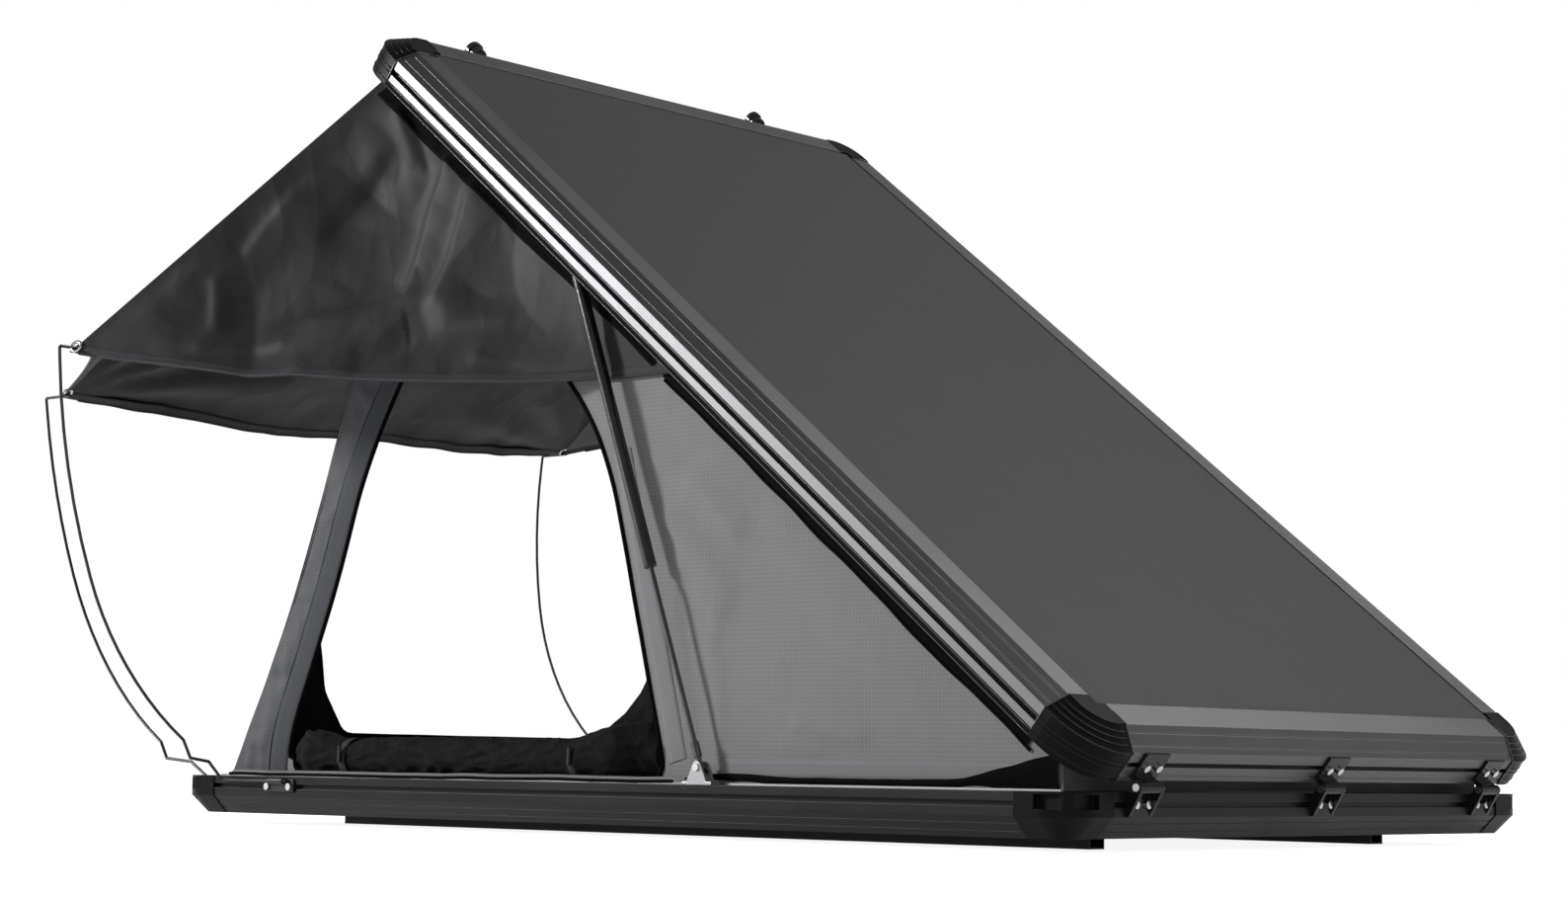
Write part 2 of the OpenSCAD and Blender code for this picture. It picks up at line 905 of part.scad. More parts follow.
module latch_plates() {
    color("#141517")
        lid_place()
            at_latches()
                difference() {
                    union() {
                        translate([-hl - latch_t, -latch_w / 2, lip_z + 5])
                            cube([latch_t, latch_w, lid_slot_up + bolt_head_r]);
                        translate([-hl - latch_t, -knob_neck, lip_z + lid_slot_up])
                            cube([latch_t, 2 * knob_neck, knob_z - lip_z - lid_slot_up]);
                        translate([0, 0, knob_z])
                            x_cyl(knob_neck, -hl - latch_t, -hl);
                        both_sides()
                            translate([0, latch_ear_in + latch_ear_t, 0])
                                rotate([90, 0, 0])
                                    linear_extrude(latch_ear_t) {
                                        translate([latch_x, latch_z])
                                            circle(latch_hub_r);
                                        translate([latch_x, latch_z - latch_hub_r])
                                            square([latch_out - latch_t + 1, 2 * latch_hub_r]);
                                    }
                    }
                    translate([latch_x, 0, latch_z])
                        y_cyl(latch_pin_r + run_clear, -latch_w, latch_w);
                    for (e = [-1, 1])
                        translate([0, e * latch_bolt, lip_z + lid_slot_up])
                            x_cyl(bolt_r + bolt_clear, -hl - latch_t - 1, -hl + 1);
                }
}

// Round pull knob that stands on the tongue of each latch plate
module latch_knobs() {
    reach = knob_out - latch_t;
    cap = 0.42 * reach;
    edge = 0.3 * cap;
    color("#0d0e0f")
        lid_place()
            at_latches()
                translate([-hl - latch_t, 0, knob_z])
                    rotate([0, -90, 0])
                        rotate_extrude() {
                            square([knob_neck, reach - edge]);
                            translate([0, reach - cap])
                                square([knob_r, cap - edge]);
                            square([knob_r - edge, reach]);
                            translate([knob_r - edge, reach - edge])
                                circle(edge);
                        }
}

module latch_pins() {
    side = latch_ear_in + latch_ear_t;
    color("#c9ccd0")
        lid_place()
            at_latches()
                translate([latch_x, 0, latch_z]) {
                    y_cyl(latch_pin_r, -side, side);
                    for (e = [-1, 1])
                        translate([0, e * (side + 0.75) - 0.75, 0])
                            y_cyl(latch_pin_r + 1, 0, 1.5);
                }
}

module latch_lever() {
    half = latch_ear_in - 0.5;
    arm = 6;
    lid_place()
        translate([latch_x, 0, latch_z])
            rotate([0, latch_rest, 0])
                difference() {
                    union() {
                        y_cyl(latch_hub_r, -half, half);
                        translate([-arm / 2, -half, hook_z - latch_z - 6])
                            cube([arm, 2 * half, latch_z - hook_z + 6]);
                        translate([-arm / 2, -half, hook_z - latch_z - 6])
                            cube([latch_out - latch_t - 2 + arm / 2, 2 * half, 6]);
                        translate([-arm / 2, -half, hook_z - latch_z - 18])
                            cube([arm, 2 * half, 13]);
                    }
                    y_cyl(latch_pin_r + run_clear, -latch_w, latch_w);
                }
}

module latch_lever_near() {
    color("#0f1011")
        translate([0, -latch_y, 0])
            latch_lever();
}

module latch_lever_far() {
    color("#0f1011")
        translate([0, latch_y, 0])
            latch_lever();
}

module latch_keepers() {
    half = latch_ear_in - 1;
    color("#141517")
        at_latches()
            difference() {
                union() {
                    translate([-hl - latch_t, -latch_w / 2, keeper_z])
                        cube([latch_t, latch_w, keeper_h]);
                    translate([-hl - latch_out + 4, -half, keeper_z])
                        cube([latch_out - 4, 2 * half, 6]);
                }
                for (e = [-1, 1])
                    translate([0, e * latch_bolt, slot_z])
                        x_cyl(bolt_r + bolt_clear, -hl - latch_t - 1, -hl + 1);
            }
}

module lid_section() {
    step = lid_under - lid_skirt_t - 3;
    difference() {
        polygon([[0, 0], [lid_skirt_t, 0], [lid_skirt_t, step],
            [lid_skirt_t + lid_under - step + 1, lid_under],
            [lid_ledge_end, lid_under],
            [lid_ledge_end, lid_under + lid_ledge_t],
            [lid_flange_w, lid_under + lid_ledge_t], [lid_flange_w, lid_h],
            [lid_run, lid_h], [0, lid_face_h]]);
        slot_cut(lid_slot_up);
        translate([slot_deep + 3, 4])
            square([lid_skirt_t - slot_deep - 6, step - 8]);
        translate([lid_skirt_t + lid_under - step + 3, lid_under + 3])
            square([lid_flange_w - lid_skirt_t - lid_under + step - 6, lid_h - lid_under - 6]);
        for (f = [0.26, 0.72])
            translate([lid_run * f, lid_face_h + (lid_h - lid_face_h) * f])
                circle(1.2);
        translate([0, 9.5])
            circle(1.6);
    }
}

module lid_rail_n() {
    lid_place()
        near_run(-hl + corner_leg, hl - corner_leg, lip_z)
            lid_section();
}

module lid_rail_near() {
    color("#232427")
        lid_rail_n();
}

module lid_rail_far() {
    color("#232427")
        mirror([0, 1, 0])
            lid_rail_n();
}

module lid_rail_hinge() {
    color("#232427")
        lid_place()
            hinge_run(-hw + corner_leg, hw - corner_leg, lip_z)
                lid_section();
}

module lid_rail_open() {
    color("#232427")
        lid_place()
            mirror([1, 0, 0])
                hinge_run(-hw + corner_leg, hw - corner_leg, lip_z)
                    lid_section();
}

module lid_corner_section() {
    step = lid_under - lid_skirt_t - 3;
    w = lid_corner_r - 3;
    polygon([[-corner_proud, 0], [lid_skirt_t, 0], [lid_skirt_t, step],
        [lid_skirt_t + lid_under - step + 1, lid_under], [w, lid_under],
        [w, lid_h + corner_proud / 2], [lid_run, lid_h + corner_proud / 2],
        [-corner_proud, lid_face_h]]);
}

module lid_corners() {
    color("#2b2c2f")
        lid_place()
            four_corners() {
                corner_turn(lid_corner_r, lip_z)
                    lid_corner_section();
                near_run(hl - corner_leg, hl - lid_corner_r, lip_z)
                    lid_corner_section();
                hinge_run(-hw + lid_corner_r, -hw + corner_leg, lip_z)
                    lid_corner_section();
            }
}

module lid_panel() {
    l = face_l - 2 * (lid_flange_w + panel_gap);
    w = face_w - 2 * (lid_flange_w + panel_gap);
    color("#47484a")
        lid_place()
            translate([-l / 2, -w / 2, lip_z + lid_under + lid_ledge_t])
                cube([l, w, lid_panel_t]);
}

module lid_liner() {
    edge = lid_ledge_end + panel_gap;
    l = face_l - 2 * edge;
    w = face_w - 2 * edge;
    color("#77797c")
        lid_place()
            translate([-l / 2, -w / 2, lip_z + lid_under + lid_ledge_t - liner_t])
                cube([l, w, liner_t]);
}

module seal_section() {
    translate([6, -seal_gap + 0.5])
        square([10, seal_gap - 0.5]);
}

module lid_seal() {
    r = lid_corner_r;
    color("#0c0c0d")
        lid_place() {
            four_corners()
                corner_turn(r, lip_z)
                    seal_section();
            both_sides()
                near_run(-hl + r, hl - r, lip_z)
                    seal_section();
            for (mx = [0, 1])
                mirror([mx, 0, 0])
                    hinge_run(-hw + r, hw - r, lip_z)
                        seal_section();
        }
}

// Rounds the corners of a polygon with arcs of n points
function round_poly(pts, r, n) = let (k = len(pts))
    [for (i = [0:k - 1]) let (
        b = pts[i],
        p = pts[(i + k - 1) % k] - b,
        q = pts[(i + 1) % k] - b,
        up = p / norm(p),
        uq = q / norm(q),
        half = acos(up * uq) / 2,
        m = (up + uq) / norm(up + uq),
        c = b + m * r / sin(half),
        s0 = b + up * r / tan(half) - c,
        s1 = b + uq * r / tan(half) - c,
        turn = 180 - 2 * half,
        w = s0[0] * s1[1] - s0[1] * s1[0] > 0 ? 1 : -1)
        for (j = [0:n]) let (a = w * turn * j / n)
            c + [s0[0] * cos(a) - s0[1] * sin(a), s0[0] * sin(a) + s0[1] * cos(a)]];

function front_edge(z) = front_x + (z - wall_foot) * tan(front_lean);
function lid_line_z(x, v) = zh + (xh - x) * tan(lid_angle) + v / ca;

door_foot = top_z + keder_h;
door_top_v = lip_v - door_drop;
door_rear_k = tan(door_lean);
door_rear_z = (lid_line_z(door_rear + top_z * door_rear_k, door_top_v))
    / (1 - door_rear_k * tan(lid_angle));
door_rear_x = door_rear - (door_rear_z - top_z) * door_rear_k;
door_front_z = (lid_line_z(front_x + pillar_w - wall_foot * tan(front_lean), door_top_v))
    / (1 + tan(front_lean) * tan(lid_angle));
door_front_x = front_edge(door_front_z) + pillar_w;
door_front = front_edge(door_foot) + pillar_w;

module side_wall() {
    end_top = lid_line_z(end_wall_x, wall_top_v);
    translate([0, -hw + wall_in + cloth_t, 0])
        rotate([90, 0, 0])
            linear_extrude(cloth_t)
                difference() {
                    polygon([[front_x, wall_foot], [end_wall_x, wall_foot],
                        [end_wall_x, end_top], [wall_top[0], wall_top[1]]]);
                    difference() {
                        polygon(round_poly([[door_front, door_foot],
                            [door_rear - (door_foot - top_z) * door_rear_k, door_foot],
                            [door_rear_x, door_rear_z], [door_front_x, door_front_z]],
                            door_r / 3, 6));
                    }
                }
}

module wall_near() {
    color("#74767a")
        side_wall();
}

module wall_far() {
    color("#74767a")
        mirror([0, 1, 0])
            side_wall();
}

front_half = hw - wall_in - cloth_t - 0.5;

module wall_front() {
    h = (wall_top[1] - wall_foot) / cos(front_lean) - 4;
    sill = front_sill;
    color("#6d6f73")
        translate([front_x + 6, 0, wall_foot + cloth_t * sin(front_lean)])
            rotate([0, front_lean, 0])
                rotate([90, 0, 90])
                    linear_extrude(cloth_t)
                        difference() {
                            translate([-front_half, 0])
                                square([2 * front_half, h]);
                            polygon(round_poly([[-front_door_half, sill], [front_door_half, sill],
                                [front_door_half, sill + front_door_h],
                                [-front_door_half, sill + front_door_h]], door_r, 8));
                        }
}

module wall_hinge_end() {
    h = lid_line_z(end_wall_x - cloth_t, wall_top_v) - wall_foot - 4;
    color("#6d6f73")
        translate([end_wall_x - cloth_t - 2, -front_half, wall_foot])
            cube([cloth_t, 2 * front_half, h]);
}

roll_in = wall_in + cloth_t / 2;
roll_z = door_foot + soft_gap + roll_d / 2;
roll_x0 = door_front + 14 + roll_d * tan(front_lean);
roll_x1 = door_rear - 44 - roll_d * door_rear_k;
roll_l = roll_x1 - roll_x0;
tie_pinch = 4;
tie_r = roll_d / 2 - tie_pinch;

// Share of the pinch at distance d from a tie
function pinch(d) = d < 12 ? 1 : d > 60 ? 0 : pow(1 - (d - 12) / 48, 2);

// Ring of a door roll at distance x from its end, pinched at the ties t and at the ends
function roll_ring(x, l, t, n) = let (
    dip = max(pinch(abs(x - t[0])), pinch(abs(x - t[1]))),
    r = (roll_d / 2 - tie_pinch * dip) * min(1, 0.6 + 0.4 * min(x, l - x) / 30))
    [for (i = [0:n - 1]) let (
        a = 360 * i / n,
        lump = 1 - 0.05 * (1 - dip) * (1 - cos(3 * a + x / 2)) * 0.5)
        [x, r * lump * cos(a), r * lump * sin(a) + r - roll_d / 2]];

module door_roll(l) {
    t = [l / 2 - tie_pitch / 2, l / 2 + tie_pitch / 2];
    mid = (t[1] - t[0] - 120) / 8;
    xs = concat([0, 10, 30], [for (d = [-60, -34, -12, 12, 34, 60]) t[0] + d],
        [for (i = [1:7]) t[0] + 60 + mid * i], [for (d = [-60, -34, -12, 12, 34, 60]) t[1] + d],
        [l - 30, l - 10, l]);
    ring_stack([for (x = xs) roll_ring(x, l, t, 16)]);
}

module side_roll() {
    translate([roll_x0, -hw + roll_in, roll_z])
        door_roll(roll_l);
}

module door_roll_near() {
    color("#161617")
        side_roll();
}

module door_roll_far() {
    color("#161617")
        mirror([0, 1, 0])
            side_roll();
}

module door_roll_front() {
    l = 2 * front_door_half - 60;
    z = mattress_z + 0.96 * mattress_t + soft_gap + roll_d / 2;
    color("#161617")
        translate([front_x + 36 + roll_d / 2 + cloth_t, -l / 2, z])
            rotate([0, 0, 90])
                door_roll(l);
}

module door_ties() {
    color("#2a2b2d")
        both_sides()
            for (e = [-1, 1])
                translate([(roll_x0 + roll_x1 + e * tie_pitch) / 2, -hw + roll_in, roll_z - tie_pinch]) {
                    difference() {
                        x_cyl(tie_r + 2, -tie_w / 2, tie_w / 2);
                        x_cyl(tie_r + soft_gap, -tie_w, tie_w);
                        translate([-tie_w, -tie_r, -tie_r - 4])
                            cube([2 * tie_w, 2 * tie_r, 6]);
                    }
                    translate([0, -tie_r - 5.5, 8])
                        cylinder(r = 4, h = 30, center = true);
                }
}

// Closed sheet from a grid of points, given a thickness vector
module cloth(grid, nu, nv, off) {
    c = (nu + 1) * (nv + 1);
    function id(i, j) = i * (nv + 1) + j;
    tops = [for (i = [0:nu - 1]) for (j = [0:nv - 1])
        each [[id(i, j), id(i + 1, j + 1), id(i + 1, j)],
            [id(i, j), id(i, j + 1), id(i + 1, j + 1)]]];
    unders = [for (f = tops) [f[0] + c, f[2] + c, f[1] + c]];
    rim = concat([for (i = [0:nu - 1]) [id(i, 0), id(i + 1, 0)]],
        [for (j = [0:nv - 1]) [id(nu, j), id(nu, j + 1)]],
        [for (i = [0:nu - 1]) [id(nu - i, nv), id(nu - i - 1, nv)]],
        [for (j = [0:nv - 1]) [id(0, nv - j), id(0, nv - j - 1)]]);
    edges = [for (e = rim) each [[e[0], e[1], e[1] + c], [e[0], e[1] + c, e[0] + c]]];
    polyhedron(points = concat(grid, [for (p = grid) p + off]),
        faces = concat(tops, unders, edges));
}

awning_v = lip_v + 7.5;
wing_y = -hw + wall_in - soft_gap;
pw = lid_pt3(2 * hl + hinge_out - lid_corner_r / 2 - 1, awning_v, wing_y);
pf = lid_pt3(2 * hl + hinge_out - lid_skirt_t - soft_gap, lip_v + 0.5, -hw + lid_corner_r);
wing_q = lid_pt3(wing_u, awning_v, wing_y);
side_eye = [-side_pole_x - sin(side_tilt) * (side_pole_h + pole_drop),
    -hw - side_pole_out + side_hook - 10, top_z + side_pole_h];
end_eye = [-hl - end_pole_out + end_hook - 10,
    -end_pole_y - sin(end_tilt) * (end_pole_h + pole_drop), top_z + end_pole_h];

function mix(a, b, f) = a + (b - a) * f;
function unit(v) = v / norm(v);

wing_n = unit(cross(wing_q - pw, side_eye - pw));
front_n = unit(cross([0, 1, 0], end_eye - pf));
gore_n = unit(cross(end_eye - pf, side_eye - pf));
corner_in = 16;

hem0 = side_eye + corner_in * unit(side_eye - pw);
hem1 = wing_q + 1.5 * corner_in * unit(side_eye - wing_q);

// Which side of the strut's line a point lies on
function strut_off(p) = (p[0] - strut_foot_x) * strut_dz - (p[2] - foot_z) * strut_dx;

// Share of the wing's length at which it draws in to pass behind the strut
function wing_tuck(t) = let (
    a = mix(pw, hem0, t),
    b = mix(wing_q, hem1, t))
    strut_off(a) / (strut_off(a) - strut_off(b)) - (tube_r + 2) / norm(b - a);

// Wing of the awning: s along the lid, t from the lid down to the hem
function wing_pt(s, t) = let (
    a = mix(pw, wing_q, s),
    b = mix(hem0, hem1, s),
    f = max(0, 1 - s / wing_tuck(t)),
    fold = fold_d * f * sin(540 * s + 200 * t) * sin(180 * s) * t * (1 - 0.4 * t),
    sag = wing_sag * sin(180 * s) * t * t,
    p = mix(a, b, t))
    [p[0], wing_y + (side_eye[1] - corner_in * 0.4 - wing_y) * f * t, p[2] - sag]
        + wing_n * (fold - fold_d * f * t * (1 - t));

function front_pt(s, t) = let (
    a = [pf[0], pf[1] * (1 - 2 * s), pf[2]],
    far = end_eye + corner_in * unit(end_eye - pf),
    b = [far[0], far[1] * (1 - 2 * s), far[2]],
    fold = fold_d * sin(720 * s) * sin(180 * s) * t)
    mix(a, b, t) - [0, 0, front_sag * sin(180 * s) * t * t] + front_n * (fold - 2 * fold_d * t * (1 - t));

// Gore between front and wing, set back from both seams
function gore_pt(i, t) = let (
    span = mix(norm(pw - pf), norm(side_eye - end_eye), t),
    bow = 20 * t * (1 - t),
    s = (cloth_t + bow + (span - cloth_t - soft_gap - 2 * bow) * i) / span,
    a = mix(pf, pw, s),
    b = mix(end_eye + corner_in * unit(end_eye - pf), side_eye + corner_in * unit(side_eye - pw), s))
    mix(a, b, t * (1 - 0.07 * sin(180 * s))) - gore_n * (fold_d * sin(180 * s) * t);

module wing_sheet() {
    nu = 18;
    nv = 10;
    difference() {
        cloth([for (i = [0:nu]) for (j = [0:nv]) wing_pt(0.004 + 0.996 * i / nu, j / nv)], nu, nv,
            -cloth_t * wing_n);
        translate(side_eye)
            y_cyl(eyelet_r, -60, 60);
    }
}

module gore_sheet() {
    nu = 8;
    nv = 10;
    cloth([for (i = [0:nu]) for (j = [0:nv]) gore_pt(i / nu, 0.02 + 0.94 * j / nv)], nu, nv,
        -cloth_t * gore_n);
}

module awning_front() {
    nu = 20;
    nv = 10;
    color("#2c2d2f")
        difference() {
            cloth([for (i = [0:nu]) for (j = [0:nv]) front_pt(i / nu, j / nv)], nu, nv,
                -cloth_t * front_n);
            both_sides()
                translate(end_eye)
                    x_cyl(eyelet_r, -60, 60);
        }
}

module awning_wing_near() {
    color("#303134")
        wing_sheet();
}

module awning_wing_far() {
    color("#303134")
        mirror([0, 1, 0])
            wing_sheet();
}

module awning_gore_near() {
    color("#2a2b2d")
        gore_sheet();
}

module awning_gore_far() {
    color("#2a2b2d")
        mirror([0, 1, 0])
            gore_sheet();
}

// Ring of a pole round the path point p with heading a, mitred by m
function pole_ring(p, a, m) = [for (i = [0:7]) let (
    c = pole_r * cos(45 * i) * m,
    e = pole_r * sin(45 * i))
    [p[0] - c * sin(a), -e, p[1] + c * cos(a)]];

function heading(p, q) = atan2(q[1] - p[1], q[0] - p[0]);

function arc_pts(c, r, a0, a1, n) =
    [for (i = [1:n]) let (a = a0 + (a1 - a0) * i / n) c + r * [cos(a), sin(a)]];

// Rings along a path, each set square to the bisector of its two sides
function path_rings(w) = let (k = len(w))
    [for (i = [0:k - 1]) let (
        h0 = heading(w[max(i - 1, 0)], w[max(i, 1)]),
        h1 = heading(w[min(i, k - 2)], w[min(i + 1, k - 1)]),
        turn = h1 - h0 > 180 ? h1 - h0 - 360 : h1 - h0 < -180 ? h1 - h0 + 360 : h1 - h0)
        pole_ring(w[i], h0 + turn / 2, 1 / cos(turn / 2))];

// A pole drawn outwards along X from its holder, with its leg along -Y
module pole(out, up, kink, start, mid, hook, tilt, leg) {
    h = up + pole_drop;
    top = h - 8 * pole_r;
    knee = pole_drop + up / 12;
    dx = out - kink;
    dz = top - knee;
    m = [sin(mid) - sin(start), 1 - sin(mid), cos(start) - cos(mid), cos(mid)];
    det = m[0] * m[3] - m[1] * m[2];
    r1 = (dx * m[3] - m[1] * dz) / det;
    r2 = (m[0] * dz - m[2] * dx) / det;
    k = [kink, knee];
    c1 = k + r1 * [-sin(start), cos(start)];
    joint = c1 + r1 * [sin(mid), -cos(mid)];
    c2 = joint + r2 * [-sin(mid), cos(mid)];
    way = concat([[holder_d, -pole_r * 0.4], [kink * 0.42, pole_drop + 0.033 * up],
        [kink - 5 * pole_r, pole_drop + 0.041 * up], k],
        arc_pts(c1, r1, start - 90, mid - 90, 10), arc_pts(c2, r2, mid - 90, 0, 6),
        [[out, h - 3], [out - 3, h], [out - hook, h]]);
    translate([holder_d, 0, 0])
        y_cyl(pole_r, -leg, pole_r);
    rotate([-tilt, 0, 0])
        ring_stack(path_rings(way));
}

module side_pole() {
    translate([-side_pole_x, -hw, pole_z])
        rotate([0, 0, -90])
            mirror([0, 1, 0])
                pole(side_pole_out, side_pole_h, 0.273 * side_pole_out, 38, 73,
                    side_hook, side_tilt, side_leg);
}

module end_pole() {
    translate([-hl, -end_pole_y, pole_z])
        rotate([0, 0, 180])
            pole(end_pole_out, end_pole_h, 0.3434 * end_pole_out, 33, 73, end_hook, end_tilt, end_leg);
}

module pole_side_near() {
    color("#1a1b1d")
        side_pole();
}

module pole_side_far() {
    color("#1a1b1d")
        mirror([0, 1, 0])
            side_pole();
}

module pole_end_near() {
    color("#1a1b1d")
        end_pole();
}

module pole_end_far() {
    color("#1a1b1d")
        mirror([0, 1, 0])
            end_pole();
}

base_rail_near();
base_rail_far();
base_rail_hinge();
base_rail_open();
base_corners();
base_floor();
mount_rail_near();
mount_rail_far();
floor_bolts();
mattress();
keder_rails();
hinge_base_leaves();
hinge_pins();
base_bolts();
pole_holders();
strut_feet();
strut_pins();
latch_keepers();
wall_near();
wall_far();
wall_front();
wall_hinge_end();
door_roll_near();
door_roll_far();
door_roll_front();
door_ties();
lid_rail_near();
lid_rail_far();
lid_rail_hinge();
lid_rail_open();
lid_corners();
lid_panel();
lid_liner();
lid_seal();
hinge_lid_leaves();
lid_bolts();
strut_lid_brackets();
latch_plates();
latch_pins();
latch_knobs();
strut_rod_near();
strut_tube_near();
strut_rod_far();
strut_tube_far();
latch_lever_near();
latch_lever_far();
awning_front();
awning_wing_near();
awning_wing_far();
awning_gore_near();
awning_gore_far();
pole_side_near();
pole_side_far();
pole_end_near();
pole_end_far();
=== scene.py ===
"""Dresses the roof top tent: finishes for its metal shell, and cloth walls, doors, awning and mattress."""
import json
import logging
import math
from dataclasses import dataclass, field
from enum import Enum
from typing import Callable, Dict, List, Optional, Sequence, Tuple, Union

import bpy
import numpy as np
from mathutils import Matrix, Vector, noise
from mathutils.geometry import delaunay_2d_cdt

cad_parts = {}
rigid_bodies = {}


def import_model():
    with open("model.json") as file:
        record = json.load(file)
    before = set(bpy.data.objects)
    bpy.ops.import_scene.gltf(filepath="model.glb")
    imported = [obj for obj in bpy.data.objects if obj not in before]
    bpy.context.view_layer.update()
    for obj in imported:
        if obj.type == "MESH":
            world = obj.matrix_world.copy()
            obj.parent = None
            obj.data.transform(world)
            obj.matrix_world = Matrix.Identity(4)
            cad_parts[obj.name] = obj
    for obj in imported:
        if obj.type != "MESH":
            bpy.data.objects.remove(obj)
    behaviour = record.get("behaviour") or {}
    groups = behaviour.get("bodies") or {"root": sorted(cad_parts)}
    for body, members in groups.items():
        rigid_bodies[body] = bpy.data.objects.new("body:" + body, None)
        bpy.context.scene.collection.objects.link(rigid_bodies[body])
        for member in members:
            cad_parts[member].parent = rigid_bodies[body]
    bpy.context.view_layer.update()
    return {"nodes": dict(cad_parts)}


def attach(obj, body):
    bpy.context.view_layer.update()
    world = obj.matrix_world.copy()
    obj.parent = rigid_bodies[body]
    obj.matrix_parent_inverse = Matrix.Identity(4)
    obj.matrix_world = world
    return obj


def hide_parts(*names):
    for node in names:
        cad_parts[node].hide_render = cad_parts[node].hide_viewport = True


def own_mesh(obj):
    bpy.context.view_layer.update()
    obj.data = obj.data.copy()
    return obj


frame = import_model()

LOG = logging.getLogger("tent")
Colour = Tuple[float, float, float]
Point = Tuple[float, float, float]


def unit(v: np.ndarray) -> np.ndarray:
    """Returns v at length 1."""
    return v / np.linalg.norm(v)


def mix(a: np.ndarray, b: np.ndarray, f: float) -> np.ndarray:
    """Returns the point a share f of the way from a to b."""
    return a + (b - a) * f


def ease(lo: float, hi: float, x: float) -> float:
    """Returns 0 below lo, 1 above hi and a smooth step between."""
    t = min(1.0, max(0.0, (x - lo) / (hi - lo)))
    return t * t * (3 - 2 * t)


def ripple(x: float, y: float, z: float, size: float) -> float:
    """Returns smooth noise from -1 to 1 whose swells are about size across."""
    return noise.noise(Vector((x / size, y / size, z / size)))


def crease(x: float, y: float, z: float, size: float) -> float:
    """Returns noise from 0 to 1 with sharp ridges, as crumpled cloth has."""
    return 1.0 - abs(ripple(x, y, z, size)) * 1.6


def linear(code: str) -> Colour:
    """Returns the linear colour of a screen colour such as #484848."""
    parts = [int(code[i:i + 2], 16) / 255 for i in (1, 3, 5)]
    return tuple(c / 12.92 if c <= 0.04045 else ((c + 0.055) / 1.055) ** 2.4 for c in parts)


class Side(Enum):
    """The two long sides of the tent, with the sign of Y."""

    NEAR = -1
    FAR = 1

    @property
    def word(self) -> str:
        """The side's name in the names of pieces."""
        return self.name.lower()


class Grain(Enum):
    """How the surface of a finish is broken up."""

    POWDER = "powder coat"
    CAST = "cast and coated"
    SHEET = "pebbled sheet"
    BRUSHED = "brushed metal"
    GLOSS = "gloss paint"
    RUBBER = "rubber"
    BOARD = "sealed board"
    FELT = "felt"
    RIPSTOP = "ripstop cloth"
    CANVAS = "coated canvas"
    CRUMPLED = "rolled cloth"
    BAND = "sewn band"


CLOTHS = (Grain.RIPSTOP, Grain.CANVAS, Grain.CRUMPLED)


@dataclass(frozen=True)
class Finish:
    """One finish of the tent.

    Args:
        name: the material's name.
        colour: its linear colour.
        rough: its roughness.
        grain: how its surface is broken up.
        metal: its metallic share.
        coat: weight of a clear coat.
        cell: size of the grain in metres.
        relief: depth of the grain's bump.
        shade: how far the colour wanders.
        gloss: level of its plain reflection.
        wear: how far its edges are lightened, partly as rubbed paint and partly as painted highlight.
    """

    name: str
    colour: Colour
    rough: float
    grain: Grain
    metal: float = 0.0
    coat: float = 0.0
    cell: float = 0.002
    relief: float = 0.12
    shade: float = 0.15
    gloss: float = 0.4
    wear: float = 0.0


